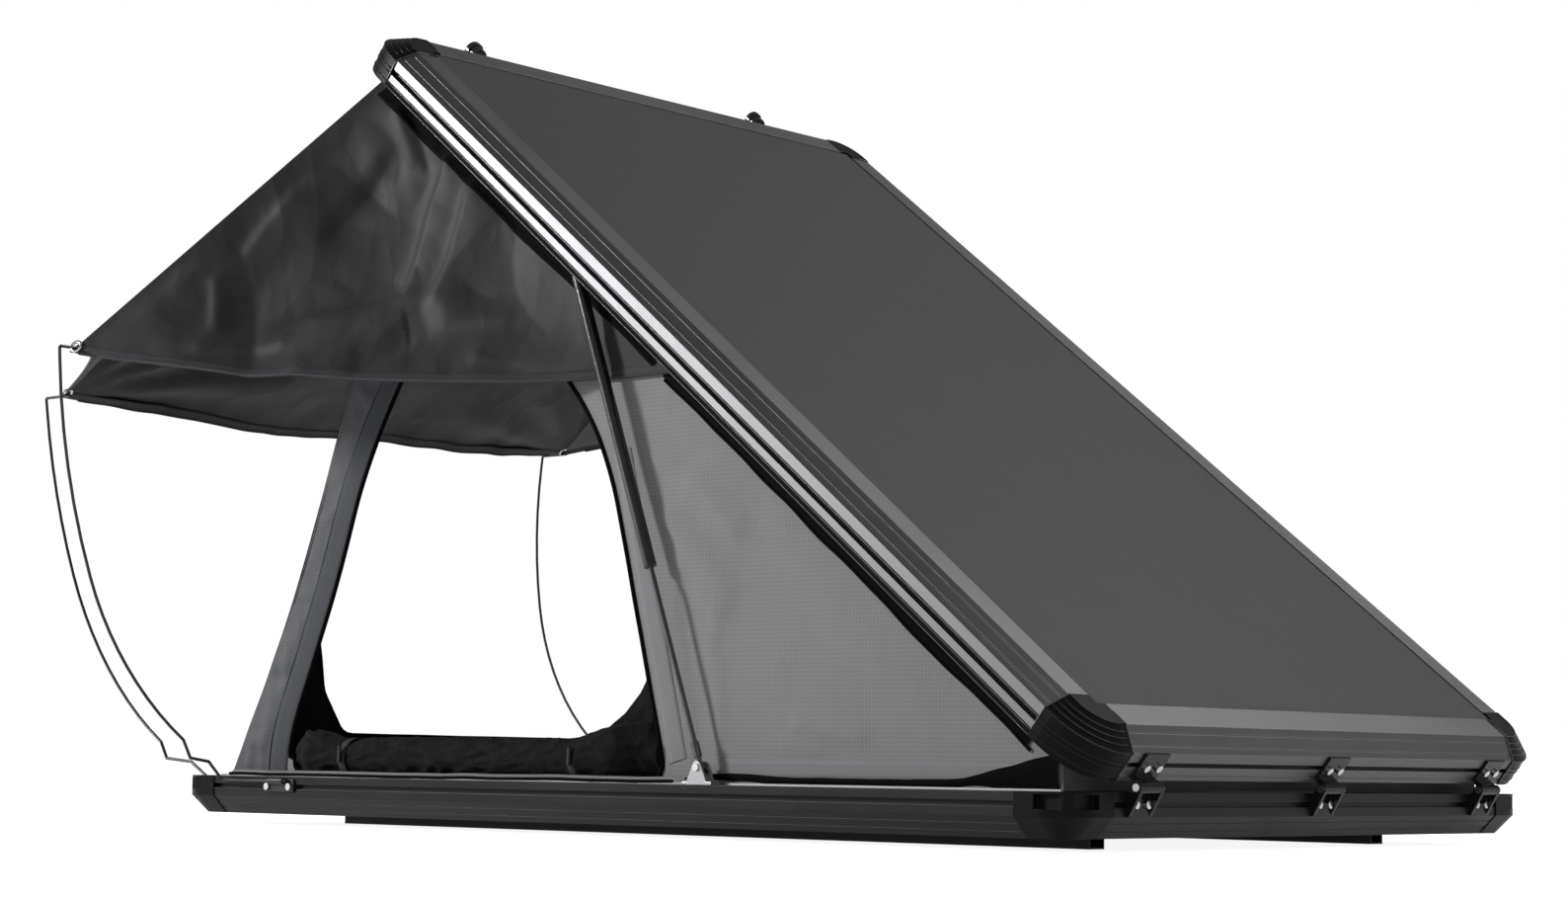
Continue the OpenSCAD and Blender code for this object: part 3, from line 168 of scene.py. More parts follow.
FINISHES: Dict[str, Finish] = {f.name: f for f in (
    # painted highlight: a much brighter copy of the rails' black finish, so the lid rails show bright bands
    Finish("lid_frame", (0.135, 0.136, 0.139), 0.46, Grain.POWDER, 1.0, 0.0, 0.0016, 0.012, 0.12, 0.4, 0.2),
    Finish("tray_frame", (0.020, 0.0205, 0.0212), 0.40, Grain.POWDER, 0.8, 0.0, 0.0016, 0.03, 0.18, 0.08, 0.8),
    Finish("casting_black", (0.006, 0.006, 0.007), 0.40, Grain.CAST, 0.5, 0.0, 0.0022, 0.08, 0.25, 0.05, 0.3),
    # painted highlight: a lighter, glossier copy of the casting finish so its ribs show as light lines
    Finish("casting_rib", (0.018, 0.0185, 0.019), 0.28, Grain.POWDER, 0.8, 0.0, 0.0016, 0.05, 0.2, 0.1),
    Finish("rack_rail", (0.012, 0.012, 0.013), 0.45, Grain.POWDER, 0.2, 0.0, 0.0016, 0.06, 0.2, 0.4, 0.3),
    Finish("lid_sheet", (0.058, 0.059, 0.060), 0.52, Grain.SHEET, 0.0, 0.0, 0.0024, 0.10, 0.10, 0.15),
    Finish("liner_felt", linear("#77797c"), 0.95, Grain.FELT, 0.0, 0.0, 0.003, 0.3, 0.2),
    Finish("floor_board", linear("#a9abad"), 0.7, Grain.BOARD, 0.0, 0.0, 0.012, 0.1, 0.2),
    Finish("bright_steel", (0.62, 0.63, 0.64), 0.22, Grain.BRUSHED, 1.0, 0.0, 0.0006, 0.05, 0.12),
    Finish("foot_steel", (0.34, 0.343, 0.35), 0.34, Grain.BRUSHED, 1.0, 0.0, 0.0008, 0.05, 0.15, 0.4, 0.4),
    Finish("keder_silver", (0.30, 0.303, 0.31), 0.42, Grain.BRUSHED, 0.9, 0.0, 0.0008, 0.05, 0.15),
    Finish("piston_steel", (0.11, 0.112, 0.115), 0.24, Grain.BRUSHED, 1.0, 0.2, 0.0006, 0.03, 0.15),
    Finish("hinge_black", (0.006, 0.006, 0.007), 0.18, Grain.GLOSS, 0.0, 0.15, 0.02, 0.02, 0.1, 0.15, 0.3),
    Finish("strut_black", (0.005, 0.005, 0.006), 0.20, Grain.GLOSS, 0.0, 0.0, 0.02, 0.01, 0.1, 0.9),
    Finish("bracket_black", (0.011, 0.011, 0.012), 0.34, Grain.POWDER, 0.1, 0.0, 0.0016, 0.06, 0.15, 0.4, 0.3),
    Finish("pole_black", (0.010, 0.010, 0.011), 0.32, Grain.POWDER, 0.2, 0.2, 0.0016, 0.04, 0.2),
    Finish("seal_rubber", (0.006, 0.006, 0.006), 0.8, Grain.RUBBER, 0.0, 0.0, 0.002, 0.1, 0.1, 0.04),
    Finish("wall_cloth", linear("#7d7d7e"), 0.84, Grain.RIPSTOP, 0.0, 0.0, 0.0070, 0.13, 0.17, 0.12),
    Finish("pillar_cloth", linear("#4f5053"), 0.70, Grain.RIPSTOP, 0.0, 0.0, 0.0070, 0.16, 0.14, 0.25),
    Finish("pillar_strip", linear("#494b4f"), 0.80, Grain.BAND, 0.0, 0.0, 0.004, 0.12, 0.12, 0.12),
    Finish("screen_cloth", linear("#151516"), 0.9, Grain.CANVAS, 0.0, 0.0, 0.0016, 0.12, 0.15, 0.15),
    Finish("awning_cloth", linear("#232325"), 0.56, Grain.CANVAS, 0.0, 0.0, 0.0016, 0.16, 0.14, 0.22),
    # painted light: pale tone on the gores' inner side stands in for the light that falls there
    Finish("awning_lining", linear("#646466"), 0.6, Grain.CANVAS, 0.0, 0.0, 0.0016, 0.14, 0.12, 0.14),
    Finish("roll_cloth", linear("#0c0c0d"), 0.85, Grain.CRUMPLED, 0.0, 0.0, 0.0018, 0.22, 0.25, 0.1),
    Finish("mattress_cover", linear("#56595e"), 0.9, Grain.CRUMPLED, 0.0, 0.0, 0.003, 0.2, 0.12),
    Finish("wall_band", linear("#828284"), 0.84, Grain.BAND, 0.0, 0.0, 0.004, 0.12, 0.14, 0.2),
    Finish("awning_band", linear("#343537"), 0.60, Grain.BAND, 0.0, 0.0, 0.004, 0.14, 0.12, 0.2),
    Finish("tie_web", linear("#202122"), 0.75, Grain.BAND, 0.0, 0.0, 0.002, 0.2, 0.1),
    Finish("black_binding", linear("#090909"), 0.85, Grain.BAND, 0.0, 0.0, 0.0014, 0.12, 0.15, 0.03),
    Finish("cut_edge", (0.13, 0.131, 0.133), 0.40, Grain.BRUSHED, 1.0, 0.0, 0.0006, 0.04, 0.2),
)}


Value = Union["Sock", float]


class Sock:
    """A node's output that takes part in Python expressions."""

    def __init__(self, net: "Net", socket: bpy.types.NodeSocket) -> None:
        """Wraps an output.

        Args:
            net: the material's net.
            socket: the output that is wrapped.
        """
        self.net = net
        self.socket = socket

    def _sum(self, operation: str, left: Value, right: Value) -> "Sock":
        """Returns the Math node of one operation on two values."""
        return self.net.node("ShaderNodeMath", {"operation": operation}, {0: left, 1: right})

    def __add__(self, other: Value) -> "Sock":
        """Returns self + other."""
        return self._sum("ADD", self, other)

    __radd__ = __add__

    def __sub__(self, other: Value) -> "Sock":
        """Returns self - other."""
        return self._sum("SUBTRACT", self, other)

    def __rsub__(self, other: Value) -> "Sock":
        """Returns other - self."""
        return self._sum("SUBTRACT", other, self)

    def __mul__(self, other: Value) -> "Sock":
        """Returns self * other."""
        return self._sum("MULTIPLY", self, other)

    __rmul__ = __mul__

    def __truediv__(self, other: Value) -> "Sock":
        """Returns self / other."""
        return self._sum("DIVIDE", self, other)

    def __rtruediv__(self, other: Value) -> "Sock":
        """Returns other / self."""
        return self._sum("DIVIDE", other, self)

    def near(self, centre: float, half: float) -> "Sock":
        """Returns 1 where the value lies within half of centre, else 0."""
        return self.net.node("ShaderNodeMath", {"operation": "COMPARE"}, {0: self, 1: centre, 2: half})

    def wrap(self) -> "Sock":
        """Returns the value's part after the point."""
        return self.net.node("ShaderNodeMath", {"operation": "FRACT"}, {0: self})

    def fold(self) -> "Sock":
        """Returns the value without its sign, which turns its zeros into sharp folds."""
        return self.net.node("ShaderNodeMath", {"operation": "ABSOLUTE"}, {0: self})

    def wave(self) -> "Sock":
        """Returns the sine of the value."""
        return self.net.node("ShaderNodeMath", {"operation": "SINE"}, {0: self})

    def step(self, low: float, high: float) -> "Sock":
        """Returns 0 below low, 1 above high and a smooth step between."""
        return self.net.node("ShaderNodeMapRange", {"interpolation_type": "SMOOTHSTEP"},
                             {"Value": self, "From Min": low, "From Max": high})

    def most(self, other: Value) -> "Sock":
        """Returns the larger of two values."""
        return self._sum("MAXIMUM", self, other)


class Net:
    """The node tree of one material or of the world."""

    def __init__(self, tree: bpy.types.NodeTree) -> None:
        """Starts an empty net.

        Args:
            tree: the tree, emptied here.
        """
        self.tree = tree
        tree.nodes.clear()

    def make(self, kind: str, settings: Dict[str, object], inputs: Dict[object, object]) -> bpy.types.Node:
        """Adds any node.

        Args:
            kind: the node's type.
            settings: its settings, set first; stops holds a ramp's places and colours.
            inputs: values or links of its sockets, by name or number.

        Returns:
            The node.
        """
        made = self.tree.nodes.new(kind)
        for key, value in settings.items():
            if key == "stops":
                for i, (place, colour) in enumerate(value):
                    stop = made.color_ramp.elements[i] if i < 2 else made.color_ramp.elements.new(place)
                    stop.position = place
                    stop.color = (*colour, 1.0)
            else:
                setattr(made, key, value)
        for key, value in inputs.items():
            if isinstance(value, Sock):
                self.tree.links.new(value.socket, made.inputs[key])
            else:
                made.inputs[key].default_value = value
        return made

    def node(self, kind: str, settings: Dict[str, object], inputs: Dict[object, object],
             out: Union[int, str] = 0) -> Sock:
        """Adds any node and returns one of its outputs.

        Args:
            kind: the node's type.
            settings: its settings.
            inputs: values or links of its sockets.
            out: which output is returned.

        Returns:
            The output, ready for expressions.
        """
        return Sock(self, self.make(kind, settings, inputs).outputs[out])

    def blend(self, share: Value, low: Union[Sock, Colour], high: Union[Sock, Colour]) -> Sock:
        """Returns a colour between low and high by share."""
        pair = {6: low if isinstance(low, Sock) else (*low, 1.0), 7: high if isinstance(high, Sock) else (*high, 1.0)}
        return self.node("ShaderNodeMix", {"data_type": "RGBA"}, {0: share, **pair}, 2)

    def place(self) -> Sock:
        """Returns the point in the object's own space."""
        return self.node("ShaderNodeTexCoord", {}, {}, "Object")

    def cloud(self, size: float, detail: float = 2.0, where: Optional[Sock] = None) -> Sock:
        """Returns noise whose swells are about size metres across."""
        return self.node("ShaderNodeTexNoise", {}, {"Vector": where or self.place(), "Scale": 1 / size,
                                                    "Detail": detail, "Roughness": 0.6})

    def axes(self, where: Sock) -> Tuple[Sock, Sock, Sock]:
        """Returns the three parts of a vector."""
        parts = self.make("ShaderNodeSeparateXYZ", {}, {0: where})
        return tuple(Sock(self, parts.outputs[i]) for i in range(3))

    def stretched(self, scale: Point) -> Sock:
        """Returns the object's own space stretched by scale."""
        return self.node("ShaderNodeVectorMath", {"operation": "MULTIPLY"}, {0: self.place(), 1: scale})

    def slanted(self, turn: float, scale: Point) -> Sock:
        """Returns the object's own space turned about Y and stretched by scale."""
        return self.node("ShaderNodeMapping", {},
                         {"Vector": self.place(), "Rotation": (0.0, turn, 0.0), "Scale": scale})


class FinishShop:
    """Makes each finish's material once."""

    def __init__(self) -> None:
        """Starts with no materials."""
        self.made: Dict[str, bpy.types.Material] = {}

    def get(self, name: str) -> bpy.types.Material:
        """Finds a finish's material and makes it on first use.

        Args:
            name: the finish's name.

        Returns:
            The material.
        """
        if name not in self.made:
            self.made[name] = self._make(FINISHES[name])
        return self.made[name]

    def _make(self, finish: Finish) -> bpy.types.Material:
        """Builds a finish's material.

        Args:
            finish: the finish.

        Returns:
            The material.
        """
        material = bpy.data.materials.new(finish.name)
        material.use_nodes = True
        net = Net(material.node_tree)
        share, rough, height = self._grain(net, finish)
        dark = tuple(c * (1 - finish.shade) for c in finish.colour)
        light = tuple(min(1.0, c * (1 + finish.shade) + 0.002) for c in finish.colour)
        colour = net.blend(share, dark, light)
        below = {"Height": height, "Strength": min(1.0, finish.relief * 3),
                 "Distance": 0.004 if finish.grain in CLOTHS else finish.cell * 0.5}
        # edges lightened along a bevel mask: partly rubbed paint, partly painted highlight
        if finish.wear:
            soft = net.node("ShaderNodeBevel", {"samples": 8}, {"Radius": 0.0014})
            flat = net.node("ShaderNodeNewGeometry", {}, {}, "Normal")
            bend = 1 - net.node("ShaderNodeVectorMath", {"operation": "DOT_PRODUCT"}, {0: soft, 1: flat}, "Value")
            rubbed_and_highlit = tuple(min(1.0, c * 1.6 + 0.06) for c in finish.colour)
            colour = net.blend(bend.step(0.01, 0.25) * finish.wear, colour, rubbed_and_highlit)
            below["Normal"] = soft
        bump = net.node("ShaderNodeBump", {}, below)
        shader = net.make("ShaderNodeBsdfPrincipled", {}, {
            "Base Color": colour, "Roughness": rough, "Metallic": finish.metal,
            "Coat Weight": finish.coat, "Coat Roughness": 0.08, "Specular IOR Level": finish.gloss,
            "Normal": bump})
        if finish.grain in CLOTHS or finish.grain in (Grain.BAND, Grain.FELT):
            shader.inputs["Sheen Weight"].default_value = 0.02
        net.make("ShaderNodeOutputMaterial", {}, {0: Sock(net, shader.outputs[0])})
        return material

    def _grain(self, net: Net, finish: Finish) -> Tuple[Sock, Sock, Sock]:
        """Works out what varies over a finish.

        Args:
            net: the material's net.
            finish: the finish.

        Returns:
            The colour's share from dark to light, the roughness and the height.
        """
        wide = net.cloud(0.35, 3.0)
        fine = net.cloud(finish.cell, 2.0)
        rough = finish.rough + (wide - 0.5) * 0.16
        kind = finish.grain
        if kind in (Grain.POWDER, Grain.GLOSS, Grain.RUBBER):
            dust = net.cloud(0.03, 4.0)
            return wide * 0.6 + dust * 0.4, rough + (dust - 0.5) * 0.08, fine
        if kind is Grain.CAST:
            pits = net.node("ShaderNodeTexVoronoi", {}, {"Vector": net.place(), "Scale": 1 / finish.cell})
            return wide * 0.5 + fine * 0.5, rough, pits + fine * 0.5
        if kind is Grain.SHEET:
            pebble = net.node("ShaderNodeTexVoronoi", {}, {"Vector": net.place(), "Scale": 1 / finish.cell})
            scuff = net.cloud(0.012, 5.0)
            return wide * 0.55 + scuff * 0.25 + pebble * 0.3, rough + (scuff - 0.5) * 0.1, pebble
        if kind is Grain.BRUSHED:
            streak = net.cloud(finish.cell, 3.0, net.stretched((0.05, 1.0, 1.0)))
            return streak, rough + (streak - 0.5) * 0.2, streak
        if kind is Grain.BOARD:
            vein = net.cloud(finish.cell, 6.0, net.stretched((0.06, 1.0, 1.0)))
            return vein, rough, vein
        if kind is Grain.FELT:
            return wide * 0.4 + fine * 0.6, rough, fine
        flat = net.node("ShaderNodeTexCoord", {}, {}, "UV")
        along, across, _ = net.axes(flat)
        if kind is Grain.RIPSTOP:
            lines = (along / finish.cell).wrap().near(0.5, 0.13).most((across / finish.cell).wrap().near(0.5, 0.13))
            weave = (along * 5200).wave() * (across * 5200).wave()
            crumple = net.cloud(0.05, 5.0)
            crush = (net.cloud(0.06, 2.0, net.slanted(0.6, (1.0, 1.0, 0.45))) - 0.5).fold()
            share = wide * 0.35 + crumple * 0.25 + lines * 0.42 + fine * 0.1
            return share, rough + lines * -0.05, lines * 0.10 + weave * 0.02 + crumple * 0.9 - crush * 1.6
        if kind is Grain.CANVAS:
            weave = (along * 4200).wave() * (across * 4200).wave()
            crumple = net.cloud(0.05, 6.0)
            drawn = (net.cloud(0.20, 1.0, net.slanted(0.75, (1.0, 1.0, 0.5))) - 0.5).fold()
            crush = (net.cloud(0.06, 1.0, net.slanted(-0.5, (1.0, 1.0, 0.6))) - 0.5).fold()
            height = weave * 0.03 - drawn * 9.0 - crush * 1.6 + crumple * 0.2
            return wide * 0.5 + crumple * 0.5, rough + (crumple - 0.5) * 0.2, height
        if kind is Grain.BAND:
            dash = (along / 0.0055).wrap().near(0.5, 0.32)
            rows = across.near(0.2, 0.045).most(across.near(0.8, 0.045)) * dash
            rib = (along * 3000).wave()
            return wide * 0.5 + rows * 0.5, rough, rib * 0.3 + rows * 1.2 + fine * 0.2
        crumple = net.cloud(0.03, 6.0)
        return wide * 0.4 + crumple * 0.5 + fine * 0.1, rough, crumple * 2.2 + fine * 0.08


SHOP = FinishShop()


def mesh_piece(name: str, points: np.ndarray, faces: Sequence[Sequence[int]], uv: np.ndarray,
               finish: str, smooth: bool = True) -> bpy.types.Object:
    """Makes a mesh object with a finish.

    Args:
        name: the piece's name.
        points: its points in metres.
        faces: its faces as point numbers.
        uv: a flat place for each point, in metres.
        finish: the finish's name.
        smooth: whether its faces are shaded smooth.

    Returns:
        The object.
    """
    mesh = bpy.data.meshes.new(name)
    mesh.from_pydata([tuple(map(float, p)) for p in points], [], [tuple(f) for f in faces])
    layer = mesh.uv_layers.new(name="flat")
    order = np.empty(len(mesh.loops), np.int32)
    mesh.loops.foreach_get("vertex_index", order)
    layer.data.foreach_set("uv", np.asarray(uv, np.float32)[order].ravel())
    mesh.polygons.foreach_set("use_smooth", [smooth] * len(mesh.polygons))
    mesh.materials.append(SHOP.get(finish))
    mesh.update()
    made = bpy.data.objects.new(name, mesh)
    bpy.context.scene.collection.objects.link(made)
    return made


def grid_faces(nu: int, nv: int, closed: bool = False) -> List[Tuple[int, int, int, int]]:
    """Joins a grid of points by quads.

    Args:
        nu: how many rows.
        nv: how many points in a row.
        closed: whether each row joins its own start.

    Returns:
        The corners of each quad.
    """
    last = nv if closed else nv - 1
    return [(i * nv + j, (i + 1) * nv + j, (i + 1) * nv + (j + 1) % nv, i * nv + (j + 1) % nv)
            for i in range(nu - 1) for j in range(last)]


def grid_uv(grid: np.ndarray) -> np.ndarray:
    """Lays a grid flat, measured along its rows and columns.

    Args:
        grid: the points, row by row.

    Returns:
        A flat place for each point.
    """
    du = np.linalg.norm(np.diff(grid, axis=0), axis=2).mean(1)
    dv = np.linalg.norm(np.diff(grid, axis=1), axis=2).mean(0)
    u = np.concatenate([[0], np.cumsum(du)])
    v = np.concatenate([[0], np.cumsum(dv)])
    return np.stack(np.meshgrid(u, v, indexing="ij"), 2).reshape(-1, 2)


def sheet_piece(name: str, grid: np.ndarray, finish: str) -> bpy.types.Object:
    """Returns a smooth sheet through a grid of points."""
    nu, nv = grid.shape[:2]
    return mesh_piece(name, grid.reshape(-1, 3), grid_faces(nu, nv), grid_uv(grid), finish)


def band_piece(name: str, line: np.ndarray, across: np.ndarray, out: np.ndarray, width: float, finish: str,
               thick: float = 0.0012) -> bpy.types.Object:
    """Makes a flat sewn band with soft edges along a line.

    Args:
        name: the piece's name.
        line: points along its middle.
        across: unit vectors over its width.
        out: unit vectors out of its face.
        width: its width in metres.
        finish: the finish's name.
        thick: how far its face stands out.

    Returns:
        The object.
    """
    profile = [(-0.5, 0.0), (-0.47, 0.8), (-0.2, 1.0), (0.2, 1.0), (0.47, 0.8), (0.5, 0.0)]
    grid = np.array([[p + a * width * s + o * thick * h for s, h in profile] for p, a, o in zip(line, across, out)])
    run = np.concatenate([[0], np.cumsum(np.linalg.norm(np.diff(line, axis=0), axis=1))])
    uv = np.array([[r, s + 0.5] for r in run for s, _ in profile])
    return mesh_piece(name, grid.reshape(-1, 3), grid_faces(len(line), len(profile)), uv, finish)


def tube_piece(name: str, line: np.ndarray, radius: float, finish: str, sides: int = 10,
               closed: bool = False) -> bpy.types.Object:
    """Makes a round tube along a line.

    Args:
        name: the piece's name.
        line: points along its middle.
        radius: its radius in metres.
        finish: the finish's name.
        sides: how many sides its section has.
        closed: whether the line joins its own start.

    Returns:
        The object.
    """
    n = len(line)
    if closed:
        way = np.roll(line, -1, 0) - np.roll(line, 1, 0)
    else:
        way = np.gradient(line, axis=0)
    way = way / np.linalg.norm(way, axis=1)[:, None]
    side = unit(np.cross(way[0], (0.3, 0.5, 0.81)))
    rings = []
    for p, w in zip(line, way):
        side = unit(side - w * (side @ w))
        up = np.cross(w, side)
        rings.append([p + radius * (math.cos(a) * side + math.sin(a) * up)
                      for a in np.linspace(0, 2 * math.pi, sides, endpoint=False)])
    grid = np.array(rings)
    faces = grid_faces(n, sides, True)
    if closed:
        faces += [((n - 1) * sides + j, j, (j + 1) % sides, (n - 1) * sides + (j + 1) % sides) for j in range(sides)]
    else:
        faces += [tuple(range(sides - 1, -1, -1)), tuple((n - 1) * sides + j for j in range(sides))]
    return mesh_piece(name, grid.reshape(-1, 3), faces, grid_uv(grid), finish)


def join(name: str, pieces: Sequence[bpy.types.Object]) -> bpy.types.Object:
    """Joins mesh pieces into one object with the first one's place.

    Args:
        name: the joined piece's name.
        pieces: the pieces, which keep their finishes.

    Returns:
        The joined object.
    """
    for other in bpy.context.view_layer.objects:
        other.select_set(False)
    for piece in pieces:
        piece.select_set(True)
    bpy.context.view_layer.objects.active = pieces[0]
    bpy.ops.object.join()
    pieces[0].name = name
    return pieces[0]


def area_of(piece: bpy.types.Object) -> float:
    """Returns the area of a piece's faces in square metres."""
    return sum(p.area for p in piece.data.polygons)


def resample(line: np.ndarray, step: float) -> np.ndarray:
    """Spaces points evenly along a line.

    Args:
        line: the points of the line.
        step: the distance wanted between points.

    Returns:
        The new points.
    """
    run = np.concatenate([[0], np.cumsum(np.linalg.norm(np.diff(line, axis=0), axis=1))])
    places = np.linspace(0, run[-1], max(2, int(run[-1] / step) + 1))
    return np.stack([np.interp(places, run, line[:, k]) for k in range(line.shape[1])], 1)


def rounded(corners: Sequence[Tuple[float, float, float]], steps: int = 10) -> np.ndarray:
    """Rounds a flat polygon.

    Args:
        corners: its corners as x, y and the radius there.
        steps: points in each arc.

    Returns:
        The outline's points, not closed.
    """
    count = len(corners)
    points: List[np.ndarray] = []
    for i, (x, y, r) in enumerate(corners):
        b = np.array([x, y])
        p = unit(np.array(corners[i - 1][:2]) - b)
        q = unit(np.array(corners[(i + 1) % count][:2]) - b)
        half = math.acos(float(p @ q)) / 2
        centre = b + unit(p + q) * r / math.sin(half)
        start, end = b + p * r / math.tan(half) - centre, b + q * r / math.tan(half) - centre
        turn = math.pi - 2 * half
        sign = 1 if start[0] * end[1] - start[1] * end[0] > 0 else -1
        for k in range(steps + 1):
            a = sign * turn * k / steps
            points.append(centre + np.array([start[0] * math.cos(a) - start[1] * math.sin(a),
                                             start[0] * math.sin(a) + start[1] * math.cos(a)]))
    return np.array(points)


def panel_piece(name: str, outline: np.ndarray, hole: Optional[np.ndarray], step: float,
                place: Callable[[float, float], Point], finish: str) -> bpy.types.Object:
    """Makes a cloth panel of even triangles with an optional opening.

    Args:
        name: the piece's name.
        outline: the panel's flat outline.
        hole: the opening's flat outline, or None.
        step: distance between its points.
        place: gives the point in space of a flat point.
        finish: the finish's name.

    Returns:
        The object.
    """
    loops = [resample(np.vstack([o, o[:1]]), step)[:-1] for o in (outline, hole) if o is not None]
    points = [tuple(p) for loop in loops for p in loop]
    edges: List[Tuple[int, int]] = []
    first = 0
    for loop in loops:
        edges += [(first + i, first + (i + 1) % len(loop)) for i in range(len(loop))]
        first += len(loop)
    low, high = outline.min(0), outline.max(0)
    rows = int((high[1] - low[1]) / (step * 0.87))
    inner = np.array([(low[0] + step * (i + 0.5 * (j % 2)), low[1] + step * 0.87 * j)
                      for j in range(1, rows + 1) for i in range(1, int((high[0] - low[0]) / step))])
    keep = inside(inner, loops[0])
    if hole is not None:
        keep &= ~inside(inner, loops[1])
    rim = np.array(points)
    inner = inner[keep]
    far = np.array([np.min(np.sum((rim - p) ** 2, 1)) > (0.55 * step) ** 2 for p in inner])
    points += [tuple(p) for p in inner[far]]
    flat, _, faces = delaunay_2d_cdt([Vector(p) for p in points], edges, [], 1, 1e-6)[:3]
    centres = np.array([np.mean([flat[i] for i in f], 0) for f in faces])
    good = inside(centres, loops[0])
    if hole is not None:
        good &= ~inside(centres, loops[1])
    used = [tuple(f) for f, g in zip(faces, good) if g]
    uv = np.array([tuple(p) for p in flat])
    return mesh_piece(name, np.array([place(*p) for p in uv]), used, uv, finish)


def inside(points: np.ndarray, loop: np.ndarray) -> np.ndarray:
    """Tests flat points against a closed outline.

    Args:
        points: the flat points.
        loop: the outline's corners.

    Returns:
        True for each point that lies inside.
    """
    x, y = points[:, 0][:, None], points[:, 1][:, None]
    a, b = loop, np.roll(loop, -1, 0)
    spans = (a[:, 1] > y) != (b[:, 1] > y)
    with np.errstate(divide="ignore", invalid="ignore"):
        cut = a[:, 0] + (y - a[:, 1]) * (b[:, 0] - a[:, 0]) / (b[:, 1] - a[:, 1])
    return (np.where(spans, x < cut, False).sum(1) % 2) == 1


@dataclass(frozen=True)
class Fold:
    """A fold in cloth: a ridge along a line, soft on one side and steep on the other.

    Args:
        line: flat points along the ridge.
        depth: its height in metres, negative for a groove.
        wide: how far it runs out on its soft side.
        steep: how far it runs out on its steep side.
    """

    line: Tuple[Tuple[float, float], ...]
    depth: float
    wide: float = 0.045
    steep: float = 0.016

    def height(self, x: float, y: float) -> float:
        """Works out how high the fold stands.

        Args:
            x: first coordinate of the flat point.
            y: its second coordinate.

        Returns:
            The height in metres.
        """
        best, lean = 1e9, 0.0
        for (ax, ay), (bx, by) in zip(self.line, self.line[1:]):
            dx, dy = bx - ax, by - ay
            k = min(1.0, max(0.0, ((x - ax) * dx + (y - ay) * dy) / (dx * dx + dy * dy)))
            gap = math.hypot(x - ax - k * dx, y - ay - k * dy)
            if gap < best:
                best = gap
                lean = (dx * (y - ay) - dy * (x - ax)) / (math.hypot(dx, dy) * max(gap, 1e-6))
        if best > 4 * max(self.wide, self.steep):
            return 0.0
        reach = self.steep + (self.wide - self.steep) * (0.5 + 0.5 * min(1.0, max(-1.0, lean)))
        return self.depth * math.exp(-(best / reach) ** 2)


@dataclass
class Shell:
    """Sizes of the tray and lid that the cloth takes its place from, in metres."""

    half_length: float = 1.063
    half_width: float = 0.678
    tray_top: float = 0.090
    hinge_x: float = 1.083
    hinge_z: float = 0.097
    lip: float = -0.0025
    angle: float = math.radians(38.5)
    looks: Dict[str, str] = field(default_factory=lambda: {
        "base_rail_": "tray_frame", "lid_rail_": "lid_frame", "base_corners": "casting_black",
        "lid_corners": "casting_black", "base_floor": "floor_board", "mount_rail_": "rack_rail",
        "floor_bolts": "bright_steel", "keder_rails": "keder_silver", "hinge_base_leaves": "hinge_black",
        "hinge_lid_leaves": "hinge_black", "hinge_pins": "bright_steel", "base_bolts": "bright_steel",
        "lid_bolts": "bright_steel", "strut_feet": "foot_steel", "strut_pins": "bright_steel",
        "latch_pins": "bright_steel", "latch_knobs": "strut_black", "pole_holders": "bracket_black",
        "latch_": "bracket_black", "strut_lid_brackets": "hinge_black", "strut_rod_": "piston_steel",
        "strut_tube_": "strut_black",
        "lid_panel": "lid_sheet", "lid_liner": "liner_felt", "lid_seal": "seal_rubber", "pole_": "pole_black"})

    def on_lid(self, u: float, v: float, y: float) -> np.ndarray:
        """Returns the point u along the lid from its hinges, v above its hinge plane."""
        c, s = math.cos(self.angle), math.sin(self.angle)
        return np.array([self.hinge_x - u * c + v * s, y, self.hinge_z + u * s + v * c])

    def lid_height(self, x: float, v: float) -> float:
        """Returns the height of the line v above the hinge plane at x."""
        return self.hinge_z + (self.hinge_x - x) * math.tan(self.angle) + v / math.cos(self.angle)

    def dress(self) -> None:
        """Gives each rigid piece its finish."""
        for name, piece in frame["nodes"].items():
            found = [key for key in self.looks if name.startswith(key)]
            if not found:
                continue
            look = self.looks[max(found, key=len)]
            piece.data.materials.clear()
            piece.data.materials.append(SHOP.get(look))
            LOG.info("%s wears %s", name, look)


SHELL = Shell()


